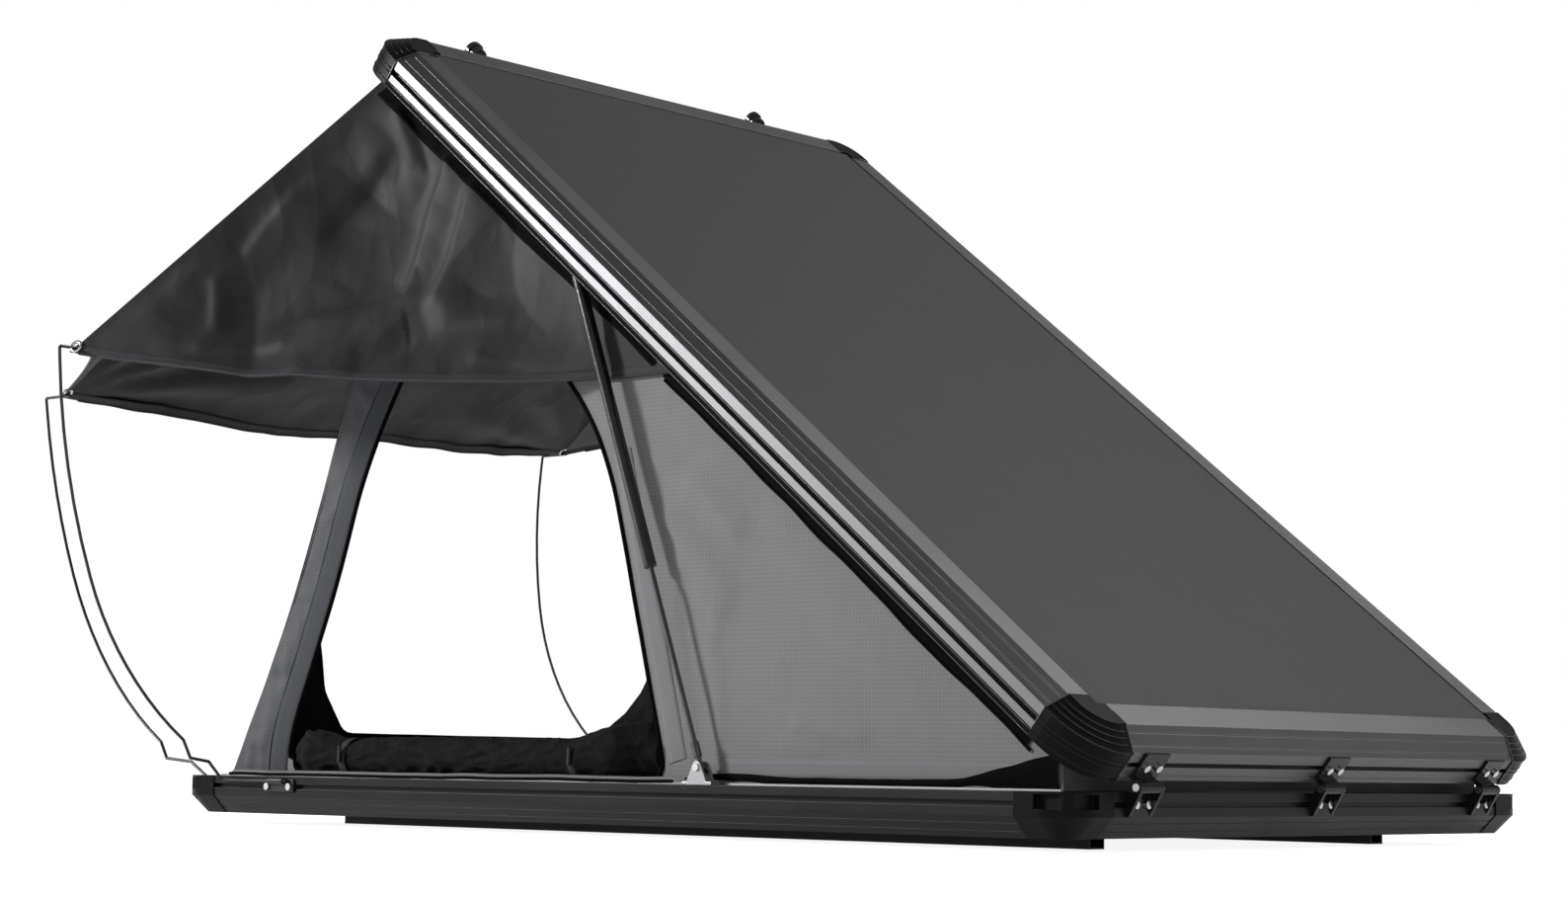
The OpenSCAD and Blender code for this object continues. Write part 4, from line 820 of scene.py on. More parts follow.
@dataclass
class SideWall:
    """The cloth wall of one long side, with its door opening, bands and skirt."""

    side: Side
    wall_in: float = 0.058
    foot: float = 0.0903
    front_x: float = -0.958
    end_x: float = 1.001
    top_u: float = 2.058
    top_v: float = 0.0555
    door_foot: float = 0.093
    door_rear: float = 0.180
    door_lean: float = 0.27
    door_v: float = -0.180
    cut: Tuple[float, float] = (1.97, 1.25)
    mesh_step: float = 0.009
    strip_width: float = 0.050
    strip_in: float = 0.030
    apron_y: float = 0.6580
    apron_z: float = 0.0985
    folded: float = 0.006
    apron_drawn: float = 0.06
    bow: Tuple[Tuple[float, float], ...] = ((0.09, -0.030), (0.128, -0.027), (0.273, 0.006), (0.437, 0.018),
                                            (0.658, 0.034), (0.827, 0.031), (1.1, 0.018), (1.42, 0.0))
    door_front: Tuple[Tuple[float, float], ...] = (
        (0.093, -0.818), (0.127, -0.812), (0.20, -0.796), (0.272, -0.772), (0.342, -0.733), (0.434, -0.698),
        (0.507, -0.676), (0.583, -0.641), (0.653, -0.614), (0.705, -0.590), (0.757, -0.566), (0.779, -0.550),
        (0.818, -0.520), (0.92, -0.455), (1.05, -0.40))
    folds: Tuple[Fold, ...] = (
        Fold(((0.179, 0.525), (0.235, 0.475), (0.295, 0.410)), 0.0064, 0.040, 0.016),
        Fold(((0.240, 0.577), (0.318, 0.511)), 0.0056, 0.040, 0.016),
        Fold(((0.206, 0.454), (0.245, 0.420), (0.285, 0.373)), 0.0060, 0.036, 0.016),
        Fold(((0.150, 0.640), (0.215, 0.585)), 0.0035, 0.030, 0.014),
        Fold(((0.205, 0.400), (0.232, 0.270), (0.262, 0.135)), -0.0028, 0.020, 0.012),
        Fold(((0.272, 0.330), (0.292, 0.240), (0.300, 0.150)), 0.0028, 0.022, 0.012),
        Fold(((0.470, 0.186), (0.530, 0.178), (0.600, 0.166)), 0.0040, 0.020, 0.012),
        Fold(((0.440, 0.150), (0.520, 0.146)), 0.0034, 0.018, 0.012),
        Fold(((0.560, 0.330), (0.640, 0.270)), 0.0022, 0.050, 0.020),
        Fold(((0.420, 0.500), (0.520, 0.390)), 0.0022, 0.060, 0.025))

    def __post_init__(self) -> None:
        """Works out the wall's slopes and corners."""
        self.y = self.side.value * (SHELL.half_width - self.wall_in)
        self.peak = SHELL.on_lid(self.top_u, self.top_v, self.y)
        self.lean = (self.peak[0] - self.front_x) / (self.peak[2] - self.foot)
        slope = math.tan(SHELL.angle)
        base = SHELL.hinge_z + self.door_v / math.cos(SHELL.angle)
        rear_z = (base + (SHELL.hinge_x - self.door_rear - SHELL.tray_top * self.door_lean) * slope) / (
            1 - self.door_lean * slope)
        self.rear_top = (self.door_rear - (rear_z - SHELL.tray_top) * self.door_lean, rear_z)
        self.front_top = self.door_front[-1][::-1]
        self.bend = np.polyfit(*zip(*self.bow), 4)
        self.curve = np.polyfit(*zip(*self.door_front), 5)

    def front_edge(self, z: float) -> float:
        """Returns where the leaning front edge, pulled in between its ends, stands at height z."""
        return self.front_x + (z - self.foot) * self.lean + float(np.polyval(self.bend, z))

    def door_edge(self, z: float) -> float:
        """Returns where the door's front edge stands at height z."""
        return float(np.polyval(self.curve, min(z, self.front_top[1])))

    def door(self) -> np.ndarray:
        """Draws the side door with its curved front edge.

        Returns:
            The outline's points in x and z.
        """
        f = self.door_foot
        rear = self.door_rear - (f - SHELL.tray_top) * self.door_lean
        ring = rounded([(self.door_edge(f), f, 0.03), (rear, f, 0.03), (*self.rear_top, 0.50), (*self.front_top, 0.06)])
        low, high = f + 0.035, self.front_top[1] - 0.08
        ahead = (ring[:, 0] < self.door_edge(0.6) + 0.1) & (ring[:, 1] > low) & (ring[:, 1] < high)
        edge = [(self.door_edge(z), z) for z in np.linspace(high, low, 40)]
        return np.vstack([ring[~ahead], edge])

    def place(self, x: float, z: float) -> Point:
        """Puts a flat point on the wall, with its soft folds.

        Args:
            x: place along the tent.
            z: height.

        Returns:
            The point.
        """
        edge = ease(0.0, 0.10, z - self.foot) * ease(0.0, 0.10, SHELL.lid_height(x, 0.0) - z)
        slack = 0.0040 * ripple(x, 3.1, z, 0.30) + 0.0016 * ripple(x, 7.7, z, 0.11)
        pull = sum(fold.height(x, z) for fold in self.folds)
        back = x - self.front_edge(z)
        post = ease(0.056, 0.072, self.door_edge(z) - x) * ease(0.0, 0.04, back)
        lean = x * 0.6 + z * 1.1
        crumple = 0.0085 * (crease(lean, 1.1, x - z * 0.3, 0.070) - 0.5) + 0.0030 * ripple(lean, 4.0, z, 0.03)
        loose = post * crumple * (0.85 + 0.5 * ease(0.55, 0.18, z)) * ease(0.0, 0.03, z - self.foot)
        depth = 0.0070 + edge * (slack - pull) - loose
        return x, self.y - self.side.value * max(0.0006, depth), z

    def outward(self, line: np.ndarray, lift: float) -> np.ndarray:
        """Returns flat points as points in space that stand lift outside the wall."""
        return np.array([np.array(self.place(x, z)) + (0, self.side.value * lift, 0) for x, z in line])

    def band(self, name: str, line: np.ndarray, width: float, finish: str, lift: float = 0.0006) -> bpy.types.Object:
        """Sews a band on the wall.

        Args:
            name: the piece's name.
            line: its middle line in x and z.
            width: its width in metres.
            finish: the finish's name.
            lift: how far it stands off the wall.

        Returns:
            The object.
        """
        points = self.outward(line, lift)
        way = np.gradient(points, axis=0)
        way /= np.linalg.norm(way, axis=1)[:, None]
        out = np.tile((0.0, float(self.side.value), 0.0), (len(points), 1))
        across = np.cross(way, out)
        across /= np.linalg.norm(across, axis=1)[:, None]
        return band_piece(name, points, across, out, width, finish)

    def build(self) -> None:
        """Makes the wall, its bands, bindings and skirt."""
        word = self.side.word
        outline = np.array([(self.front_edge(self.foot), self.foot), (self.end_x, self.foot),
                            (self.end_x, SHELL.lid_height(self.end_x, self.top_v)), (self.peak[0], self.peak[2])]
                           + [(self.front_edge(z), z) for z in np.linspace(self.peak[2] - 0.03, self.foot + 0.02, 50)])
        door = self.door()
        wall = panel_piece("side_wall_" + word, outline, door, self.mesh_step, self.place, "wall_cloth")
        wall.data.materials.append(SHOP.get("pillar_cloth"))
        for face in wall.data.polygons:
            x, _, z = face.center
            face.material_index = int(x < self.door_edge(z) - 0.012 and z < self.front_top[1])
        trims = self.trims(word, door)
        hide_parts("wall_" + word)
        for piece in [wall] + trims:
            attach(piece, "base")
            if piece.name.startswith("sill_apron"):
                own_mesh(piece)
            else:
                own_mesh(piece)
        LOG.info("side wall %s: %d points", word, len(wall.data.vertices))

    def trims(self, word: str, door: np.ndarray) -> List[bpy.types.Object]:
        """Makes what is sewn on the wall.

        Args:
            word: the side's name.
            door: the door opening's outline.

        Returns:
            The pieces.
        """
        ring = resample(np.vstack([door, door[:1]]), 0.012)[:-1]
        binding = tube_piece("door_binding_" + word, self.outward(ring, 0.0005), 0.0042, "black_binding", 8, True)
        rear = np.array([(self.door_rear + 0.034 - (z - SHELL.tray_top) * self.door_lean, z)
                         for z in np.arange(0.128, self.rear_top[1] - 0.06, 0.012)])
        facing = self.band("door_facing_" + word, rear, 0.042, "wall_band")
        seam = np.array([(self.door_edge(z) - self.strip_in, z)
                         for z in np.arange(0.1, self.front_top[1] + 0.02, 0.012)])
        strip = self.band("pillar_strip_" + word, seam, self.strip_width, "pillar_strip", 0.0014)
        groove = tube_piece("pillar_seam_" + word, self.outward(seam - (0.0260, 0.0), 0.0014), 0.0016,
                            "black_binding", 6)
        foot = np.array([(x, 0.1185) for x in np.arange(0.265, 0.955, 0.012)])
        hem = self.band("foot_hem_" + word, foot, 0.030, "wall_band")
        lid_line = np.array([(x, SHELL.lid_height(x, -0.0360 - 0.0045 * ease(0.10, 0.0, abs(x - 0.75))
                                                 + 0.0035 * ripple(x, 0.4, 0.2, 0.07)))
                             for x in np.arange(0.16, self.end_x - 0.055, 0.010)])
        welt = self.band("lid_welt_" + word, lid_line, 0.017, "black_binding", 0.0016)
        cord_line = np.array([(x, z - 0.0125) for x, z in lid_line])
        piping = tube_piece("lid_piping_" + word, self.outward(cord_line, 0.0022), 0.0030, "black_binding", 8)
        return [binding, facing, strip, groove, hem, welt, piping, self.skirt(word), self.apron(word), self.flap(word)]

    def flap(self, word: str) -> bpy.types.Object:
        """Makes the loose corner of the rolled door, drawn up along the door's rear edge.

        Args:
            word: the side's name.

        Returns:
            The object.
        """
        rows = []
        for k in np.linspace(0, 1, 26):
            top = np.interp(k, (0, 0.25, 0.55, 0.8, 1), (0.172, 0.184, 0.207, 0.242, 0.285))
            x = 0.005 + 0.128 * k
            rows.append([(x + 0.012 * (1 - w) * k,
                          self.y - self.side.value * (0.0105 + 0.003 * ripple(x, w * 0.2, 1.0, 0.05)
                                                      + 0.002 * math.sin(9 * w + 6 * k)),
                          0.150 + (top - 0.150) * w) for w in np.linspace(0, 1, 12)])
        return sheet_piece("door_flap_" + word, np.array(rows), "roll_cloth")

    def skirt(self, word: str) -> bpy.types.Object:
        """Makes the black skirt along the foot, which rises to the lid at the hinge end, where its lower edge drops to
        the tray as painted shadow.

        Args:
            word: the side's name.

        Returns:
            The object.
        """
        rows = []
        for x in np.arange(0.225, self.end_x - 0.004, 0.007):
            mid = float(np.interp(x, (0.225, 0.32, 0.46, 0.70, 0.81, 0.906, 0.975, 1.0),
                                  (0.0995, 0.1040, 0.0975, 0.0975, 0.1005, 0.122, 0.138, 0.144)))
            mid += 0.0016 * ripple(x, 0.4, 0.1, 0.05)
            half = float(np.interp(x, (0.225, 0.32, 0.9, 1.0), (0.002, 0.0062, 0.0062, 0.006)))
            # near the hinge end the lower edge drops to the tray: black sheet painting the open shadow under the skirt
            low = max(0.0938, mid - half) + (0.0938 - max(0.0938, mid - half)) * ease(0.78, 0.88, x)
            rows.append([self.outward(np.array([(x, low + (mid + half - low) * k)]),
                                      0.0016 + 0.0045 * math.sin(math.pi * k))[0] for k in np.linspace(0, 1, 7)])
        return sheet_piece("skirt_" + word, np.array(rows), "black_binding")

    def apron(self, word: str) -> bpy.types.Object:
        """Makes the door's sill strip over the tray's edge, with its black lower cord.

        Args:
            word: the side's name.

        Returns:
            The object.
        """
        sign = self.side.value
        xs = np.arange(self.front_x + 0.03, 0.245, 0.010)
        rise = np.array([0.0016 * ripple(x, 2.0, 0.3, 0.09) for x in xs])
        line = np.stack([xs, np.full(len(xs), sign * self.apron_y), self.apron_z + rise], 1)
        across = np.tile(unit(np.array([0.0, sign * 0.016, -0.011])), (len(xs), 1))
        out = np.tile(unit(np.array([0.0, sign * 0.011, 0.016])), (len(xs), 1))
        strip = band_piece("sill_strip", line, across, out, 0.0100, "wall_band")
        cord = line + (0, sign * 0.0072, -0.0042)
        edge = tube_piece("sill_cord", cord, 0.0030, "black_binding", 8)
        return join("sill_apron_" + word, [strip, edge])


@dataclass
class EndWalls:
    """The leaning front wall with its door opening, and the low wall at the hinges."""

    half: float = 0.6125
    front_x: float = -0.952
    foot: float = 0.0910
    lean: float = math.atan(0.4649 / 1.3313)
    height: float = 1.404
    door_half: float = 0.525
    sill: float = 0.086
    door_height: float = 1.010
    end_x: float = 0.998
    mesh_step: float = 0.018
    folded: float = 0.001

    def __post_init__(self) -> None:
        """Takes over how the side walls' front edges are pulled in."""
        self.bend = np.polyfit(*zip(*SideWall.bow), 4)

    def place(self, y: float, w: float) -> Point:
        """Puts a flat point on the front wall.

        Args:
            y: place across the tent.
            w: distance up the wall's slope.

        Returns:
            The point.
        """
        edge = ease(0, 0.1, w) * ease(0, 0.1, self.height - w) * ease(0, 0.08, self.half - abs(y))
        depth = 0.001 + 0.004 * edge * ripple(y, w, 5.0, 0.22) + 0.003 * edge * crease(y, w, 2.0, 0.16)
        s, c = math.sin(self.lean), math.cos(self.lean)
        z = self.foot + w * c
        pulled = float(np.polyval(self.bend, z)) * min(1.0, abs(y) / self.half) ** 8
        return self.front_x + w * s + depth * c + pulled, y, z - depth * s

    def edge_strip(self, name: str, sign: int, width: float = 0.036) -> bpy.types.Object:
        """Makes the grey strip along one upright edge of the front wall.

        Args:
            name: the piece's name.
            sign: -1 for the near edge, 1 for the far one.
            width: its width in metres.

        Returns:
            The object.
        """
        line = np.array([self.place(sign * (self.half - width / 2), w)
                         for w in np.arange(0.004, self.height - 0.004, 0.012)])
        out = np.tile((-math.cos(self.lean), 0.0, math.sin(self.lean)), (len(line), 1))
        across = np.tile((0.0, -1.0, 0.0), (len(line), 1))
        return band_piece(name, line + out * 0.0008, across, out, width, "pillar_strip")

    def build(self) -> None:
        """Makes both walls and the front door's binding."""
        h = self.half
        outline = np.array([(-h, 0.0), (h, 0.0), (h, self.height), (-h, self.height)])
        d, s = self.door_half, self.sill
        low = [(0.395, s, 0.05), (0.475, 0.175, 0.08), (d, 0.29, 0.08), (d, s + self.door_height, 0.09)]
        door = rounded([(-y, w, r) for y, w, r in reversed(low)] + low)
        front = panel_piece("front_wall", outline, door, self.mesh_step, self.place, "screen_cloth")
        ring = resample(np.vstack([door, door[:1]]), 0.014)[:-1]
        binding = tube_piece("front_binding", np.array([self.place(*p) for p in ring]), 0.004, "black_binding", 8, True)
        strips = [self.edge_strip("front_strip_" + side.word, side.value) for side in Side]
        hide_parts("wall_front")
        top = SHELL.lid_height(self.end_x - 0.002, 0.0555) - 0.005
        grid = np.array([[(self.end_x - 0.002 + 0.0015 * ripple(y, z, 1.0, 0.12), y, z)
                          for z in np.linspace(self.foot, top, 12)] for y in np.linspace(-h, h, 90)])
        rear = sheet_piece("hinge_wall", grid, "wall_cloth")
        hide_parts("wall_hinge_end")
        top - self.foot
        for piece in [front, binding, rear] + strips:
            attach(piece, "base")
            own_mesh(piece)
        LOG.info("end walls built")


@dataclass
class DoorRoll:
    """A door rolled down and tied at its sill.

    Args:
        name: the roll's name.
        node: the solid that it stands for.
        start: its end at the lowest x or y, in the middle of the roll.
        length: its length.
        along: the axis that it lies along.
        ties: whether it wears two ties.
        high: its height.
        pitch: distance between the ties.
        pinch: how far a tie draws it in.
        flare: how far its two ends swell.
        tuck: how far its ends draw in behind the wall.
    """

    name: str
    node: str
    start: Point
    length: float
    along: str
    ties: bool = True
    high: float = 0.076
    pitch: float = 0.605
    pinch: float = 0.004
    flare: Tuple[float, float] = (0.004, 0.004)
    tuck: float = 0.0

    def spots(self) -> Tuple[float, float]:
        """Returns the places of the two ties along the roll."""
        return self.length / 2 - self.pitch / 2, self.length / 2 + self.pitch / 2

    def dip(self, x: float) -> float:
        """Works out how much a tie pinches the roll.

        Args:
            x: place along the roll.

        Returns:
            The share of the full pinch.
        """
        best = 0.0
        for t in self.spots():
            d = abs(x - t)
            best = max(best, 1.0 if d < 0.012 else 0.0 if d > 0.06 else (1 - (d - 0.012) / 0.048) ** 2)
        return best

    def turn(self, p: Tuple[float, float, float]) -> Point:
        """Turns a point of the roll to its place.

        Args:
            p: the point on a roll drawn along x.

        Returns:
            The point as it lies on the tent.
        """
        x, y, z = p
        sx, sy, sz = self.start
        return (sx + x, sy + y, sz + z) if self.along == "x" else (sx - y, sy + x, sz + z)

    def build(self) -> bpy.types.Object:
        """Makes the roll with its crumpled turns.

        Returns:
            The roll.
        """
        around = 64
        seed = len(self.name) * 1.7
        rings = []
        for x in np.linspace(0, self.length, 250):
            dip = self.dip(x)
            tie = min(abs(x - t) for t in self.spots())
            end = min(1.0, 0.80 + 0.20 * min(x, self.length - x) / 0.025)
            swell = self.flare[0] * ease(0.20, 0.0, x) + self.flare[1] * ease(0.26, 0.0, self.length - x)
            r = (self.high / 2 - self.pinch * dip + swell / 2) * end
            flat = min(r, self.high * 0.53) / r
            inward = self.tuck * (ease(0.08, 0.0, x) + ease(0.10, 0.0, self.length - x))
            ring = []
            for i in range(around):
                a = 2 * math.pi * i / around
                fold = crease(x * 0.45, math.cos(a) * 0.05, math.sin(a) * 0.05 + seed, 0.024)
                lump = ripple(x, seed, a * 0.02, 0.085)
                gather = math.exp(-(tie / 0.040) ** 2) * (0.5 + 0.5 * math.sin(11 * a + 4 * ripple(x, a, seed, 0.5)))
                lap = 0.055 * (((a - 0.62 * math.pi) / (2 * math.pi)) % 1.0)
                k = 1 - 0.008 / r * (1 - dip * 0.6) * (1 - fold) - 0.05 * (1 - dip) * (0.5 + 0.5 * lump)
                k -= 0.15 * gather * (1 - 0.6 * dip) + lap * (1 - dip)
                ring.append(self.turn((x, r * k * flat * math.cos(a) + inward,
                                       r * k * math.sin(a) + r - self.high / 2)))
            rings.append(ring)
        grid = np.array(rings)
        n = len(rings)
        faces = grid_faces(n, around, True)
        hub = [tuple(grid[0].mean(0)), tuple(grid[-1].mean(0))]
        points = np.vstack([grid.reshape(-1, 3), hub])
        faces += [(i, (i + 1) % around, n * around) for i in range(around)]
        faces += [((n - 1) * around + (i + 1) % around, (n - 1) * around + i, n * around + 1) for i in range(around)]
        uv = np.vstack([grid_uv(grid), [(0, 0), (0, 0)]])
        roll = mesh_piece(self.name, points, faces, uv, "roll_cloth")
        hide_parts(self.node)
        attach(roll, "base")
        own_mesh(roll)
        LOG.info("%s: %.2f m long", self.name, self.length)
        return roll

    def tie_loops(self) -> List[bpy.types.Object]:
        """Makes the webbing loops and toggles round the roll.

        Returns:
            The objects, to be joined.
        """
        made: List[bpy.types.Object] = []
        r = self.high / 2 - self.pinch + 0.0011
        for k, t in enumerate(self.spots()):
            angles = np.radians(np.linspace(-50, 230, 40))
            line = np.array([self.turn((t, r * math.cos(a), r * math.sin(a) - self.pinch)) for a in angles])
            out = np.array([np.subtract(self.turn((t, math.cos(a), math.sin(a))), self.turn((t, 0, 0)))
                            for a in angles])
            across = np.tile(np.subtract(self.turn((1, 0, 0)), self.turn((0, 0, 0))), (len(angles), 1))
            made.append(band_piece(f"{self.name}_tie{k}", line, across, out, 0.018, "tie_web", 0.0011))
            face = -1.0 if self.start[1] < 0 else 1.0
            bar = np.array([self.turn((t + 0.0012 * math.sin(w * 9), face * (r + 0.0045), w)) for w in
                            np.linspace(-0.013, 0.019, 9)])
            toggle = tube_piece(f"{self.name}_toggle{k}", bar, 0.0036, "bracket_black", 12)
            made.append(toggle)
        return made


@dataclass
class Mattress:
    """The foam mattress in its woven cover."""

    length: float = 1.930
    width: float = 1.160
    low: float = 0.0372
    thick: float = 0.0535
    cells: int = 11
    pressure: float = 4.0
    steps: int = 15

    def build(self) -> None:
        """Makes the mattress, blown up a little as its cover is when it is full."""
        nu, nv, a, b = 96, 60, self.length / 2, self.width / 2

        def point(s: float, t: float, top: bool) -> Point:
            """Shapes the cover.

            Args:
                s: place along the mattress, from -1 to 1.
                t: place across it, from -1 to 1.
                top: whether the point is on the upper face.

            Returns:
                The point.
            """
            x, y = a * s, b * t
            rim = (1 - abs(s) ** 14) * (1 - abs(t) ** 14)
            quilt = 0.0025 * abs(math.sin(math.pi * self.cells * (s + 1) / 2)) ** 0.4
            z = self.low + (self.thick * (0.5 + 0.44 * rim ** 0.35) + quilt * rim if top
                            else self.thick * 0.5 * (1 - rim ** 0.35))
            return x, y, z

        us, vs = np.linspace(-1, 1, nu), np.linspace(-1, 1, nv)
        top = np.array([[point(s, t, True) for t in vs] for s in us])
        under = np.array([[point(s, t, False) for t in vs] for s in us])
        points = np.vstack([top.reshape(-1, 3), under.reshape(-1, 3)])
        n = nu * nv
        faces = [tuple(reversed(f)) for f in grid_faces(nu, nv)] + [tuple(i + n for i in f) for f in grid_faces(nu, nv)]
        rim = [i * nv for i in range(nu)] + [(nu - 1) * nv + j for j in range(1, nv)]
        rim += [i * nv + nv - 1 for i in range(nu - 2, -1, -1)] + [j for j in range(nv - 2, 0, -1)]
        faces += [(rim[i], rim[(i + 1) % len(rim)], rim[(i + 1) % len(rim)] + n, rim[i] + n) for i in range(len(rim))]
        uv = np.vstack([grid_uv(top), grid_uv(under)])
        pad = mesh_piece("mattress_pad", points, faces, uv, "mattress_cover")
        self.swell(pad)
        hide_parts("mattress")
        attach(pad, "base")
        LOG.info("mattress: %d points", len(pad.data.vertices))

    def swell(self, pad: bpy.types.Object, cap: float = 0.004) -> None:
        """Blows the cover up as cloth under pressure.

        Args:
            pad: the mattress.
            cap: the most that a point may move, in metres.
        """
        rest = np.array([v.co for v in pad.data.vertices])
        cloth = pad.modifiers.new("cover", "CLOTH")
        cloth.settings.use_pressure = True
        cloth.settings.uniform_pressure_force = self.pressure
        cloth.settings.quality = 4
        cloth.settings.effector_weights.gravity = 0.0
        scene = bpy.context.scene
        for step in range(1, self.steps + 1):
            scene.frame_set(step)
        graph = bpy.context.evaluated_depsgraph_get()
        grown = np.array([v.co for v in pad.evaluated_get(graph).data.vertices])
        pad.modifiers.remove(cloth)
        scene.frame_set(1)
        move = grown - rest
        size = np.linalg.norm(move, axis=1)
        move *= np.minimum(1.0, cap / np.maximum(size, 1e-9))[:, None]
        move[:, 2] = np.where(rest[:, 2] < self.low + 0.004, np.maximum(move[:, 2], 0), move[:, 2])
        pad.data.vertices.foreach_set("co", (rest + move).astype(np.float32).ravel())
        pad.data.update()


@dataclass
class Awning:
    """The awning: a front, two wings and the gores between them, with hems and eyelets."""

    wing_y: float = -0.6213
    wing_u: float = 1.092
    wing_start: float = 2.101
    front_u: float = 2.1257
    side_eye: Point = (-0.98955, -1.005, 0.880)
    end_eye: Point = (-1.457, -0.69995, 0.858)
    tip: float = 0.016
    strut_foot: Tuple[float, float] = (0.285, 0.118)
    strut_lid: Tuple[float, float] = (-0.0613, 1.0519)
    strut_clear: float = 0.013
    wing_sag: float = 0.028
    front_sag: float = 0.022
    hollow: float = 0.066
    front_cut: Tuple[float, float] = (1.44, 1.12)
    wing_cut: Tuple[float, float] = (1.30, 0.84)
    gore_cut: Tuple[float, float] = (0.62, 1.12)
    # gap between each gore and its pale painted-light sheet
    coat: float = 0.0012
    kept: float = 0.05
    front_draw: float = 0.76
    wing_lift: Tuple[float, float] = (0.050, 0.020)
    gore_lift: Tuple[float, float] = (0.003, 0.016)
    creases: Tuple[Tuple[Tuple[Tuple[float, float], ...], float, float, float], ...] = (
        (((0.26, 0.09), (0.30, 0.26), (0.385, 0.56), (0.355, 0.66), (0.29, 0.74)), 0.020, 0.075, 0.018),
        (((0.355, 0.13), (0.405, 0.33), (0.44, 0.51)), 0.013, 0.055, 0.016),
        (((0.14, 0.20), (0.15, 0.40)), -0.010, 0.050, 0.018),
        (((0.06, 0.41), (0.08, 0.61), (0.015, 0.69)), 0.008, 0.045, 0.016),
        (((0.61, 0.80), (0.815, 0.79)), 0.006, 0.032, 0.014),
        (((0.17, 0.91), (0.27, 0.84)), 0.007, 0.032, 0.014),
        (((0.085, 0.70), (0.14, 0.81)), 0.007, 0.028, 0.013),
        (((0.085, 0.07), (0.17, 0.14)), 0.005, 0.014, 0.010),
        (((0.105, 0.04), (0.205, 0.12)), -0.005, 0.014, 0.010),
        (((0.155, 0.04), (0.265, 0.10)), 0.005, 0.015, 0.010),
        (((0.50, 0.62), (0.58, 0.52)), 0.005, 0.030, 0.014),
        (((0.45, 0.93), (0.47, 0.80)), -0.006, 0.030, 0.014),
        (((0.36, 0.96), (0.40, 0.86)), 0.006, 0.026, 0.013))

    def __post_init__(self) -> None:
        """Works out the awning's corners and the normals of its panels."""
        self.se, self.ee = np.array(self.side_eye), np.array(self.end_eye)
        self.pw = SHELL.on_lid(self.wing_start, 0.005, self.wing_y)
        self.pf = SHELL.on_lid(self.front_u, -0.002, -0.590)
        self.q = SHELL.on_lid(self.wing_u, 0.005, self.wing_y)
        self.hem0 = self.se + self.tip * unit(self.se - self.pw)
        self.hem1 = self.q + 1.5 * self.tip * unit(self.se - self.q)
        self.wing_n = unit(np.cross(self.q - self.pw, self.se - self.pw))
        self.front_n = unit(np.cross((0, 1, 0), self.ee - self.pf))
        self.gore_n = unit(np.cross(self.ee - self.pf, self.se - self.pf))
        self.wing_t = unit(np.cross(self.wing_n, self.q - self.pw))
        self.gore_t = unit((self.ee + self.se) / 2 - self.pf)
        if (self.se - self.pw) @ self.wing_t < 0:
            self.wing_t = -self.wing_t
        self.folds = [Fold(tuple(self.spot(*p) for p in line), depth, wide, steep)
                      for line, depth, wide, steep in self.creases]

    def spot(self, s: float, t: float) -> Tuple[float, float]:
        """Returns x and z of the wing's plain point."""
        p = mix(mix(self.pw, self.q, s), mix(self.hem0, self.hem1, s), t)
        return float(p[0]), float(p[2])

    def drop(self, s: float) -> float:
        """Returns the wing's length from the lid to the hem at s along the lid."""
        return float(np.linalg.norm(mix(self.hem0, self.hem1, s) - mix(self.pw, self.q, s)))

    def strut_off(self, p: np.ndarray) -> float:
        """Returns how far a point lies from the strut's line, with a sign for its side."""
        (fx, fz), (lx, lz) = self.strut_foot, self.strut_lid
        return (p[0] - fx) * (lz - fz) - (p[2] - fz) * (lx - fx)

    def tuck(self, t: float) -> float:
        """Finds where the wing draws in behind the strut.

        Args:
            t: the share of the way from the lid to the hem.

        Returns:
            The share of the wing's length.
        """
        a, b = mix(self.pw, self.hem0, t), mix(self.q, self.hem1, t)
        off = self.strut_off(a)
        return off / (off - self.strut_off(b)) - self.strut_clear / float(np.linalg.norm(b - a))

    def wing(self, s: float, t: float) -> np.ndarray:
        """Shapes the near wing.

        Args:
            s: the share along the lid.
            t: the share from the lid to the hem.

        Returns:
            The point.
        """
        p = mix(mix(self.pw, self.q, s), mix(self.hem0, self.hem1, s), t)
        f = max(0.0, 1 - s / self.tuck(t))
        sag = self.wing_sag * math.sin(math.pi * s) * t * t
        y = self.wing_y + (self.se[1] - 0.4 * self.tip - self.wing_y) * f * t
        x, z = float(p[0]), float(p[2])
        hold = min(1.0, 2.5 * f) * ease(0, 0.05, s) * ease(0, 0.06, t)
        dish = 0.55 * math.sin(math.pi * min(1.0, s / 0.42)) + 0.75 * math.sin(math.pi * min(1.0, s / 0.80))
        fold = self.hollow * dish * (3.2 * t * max(0.0, 1 - t) + 0.2 * t)
        fold -= 0.010 * math.sin(math.pi * min(1.0, max(0.0, (s - 0.36) / 0.4))) * t * f
        fold -= hold * sum(pleat.height(x, z) for pleat in self.folds)
        fold += hold * 0.0150 * (crease(x * 0.9 + z * 0.35, 0.7, z * 0.9, 0.20) - 0.6)
        fold += hold * 0.0036 * (crease(x + z * 0.4, 5.2, z * 0.8, 0.10) - 0.6)
        fold += f * 0.004 * ripple(x, 0.0, 3.0, 0.12) * ease(0.75, 1.0, t) * ease(0, 0.06, s)
        return np.array([p[0], y, p[2] - sag]) + self.wing_n * fold

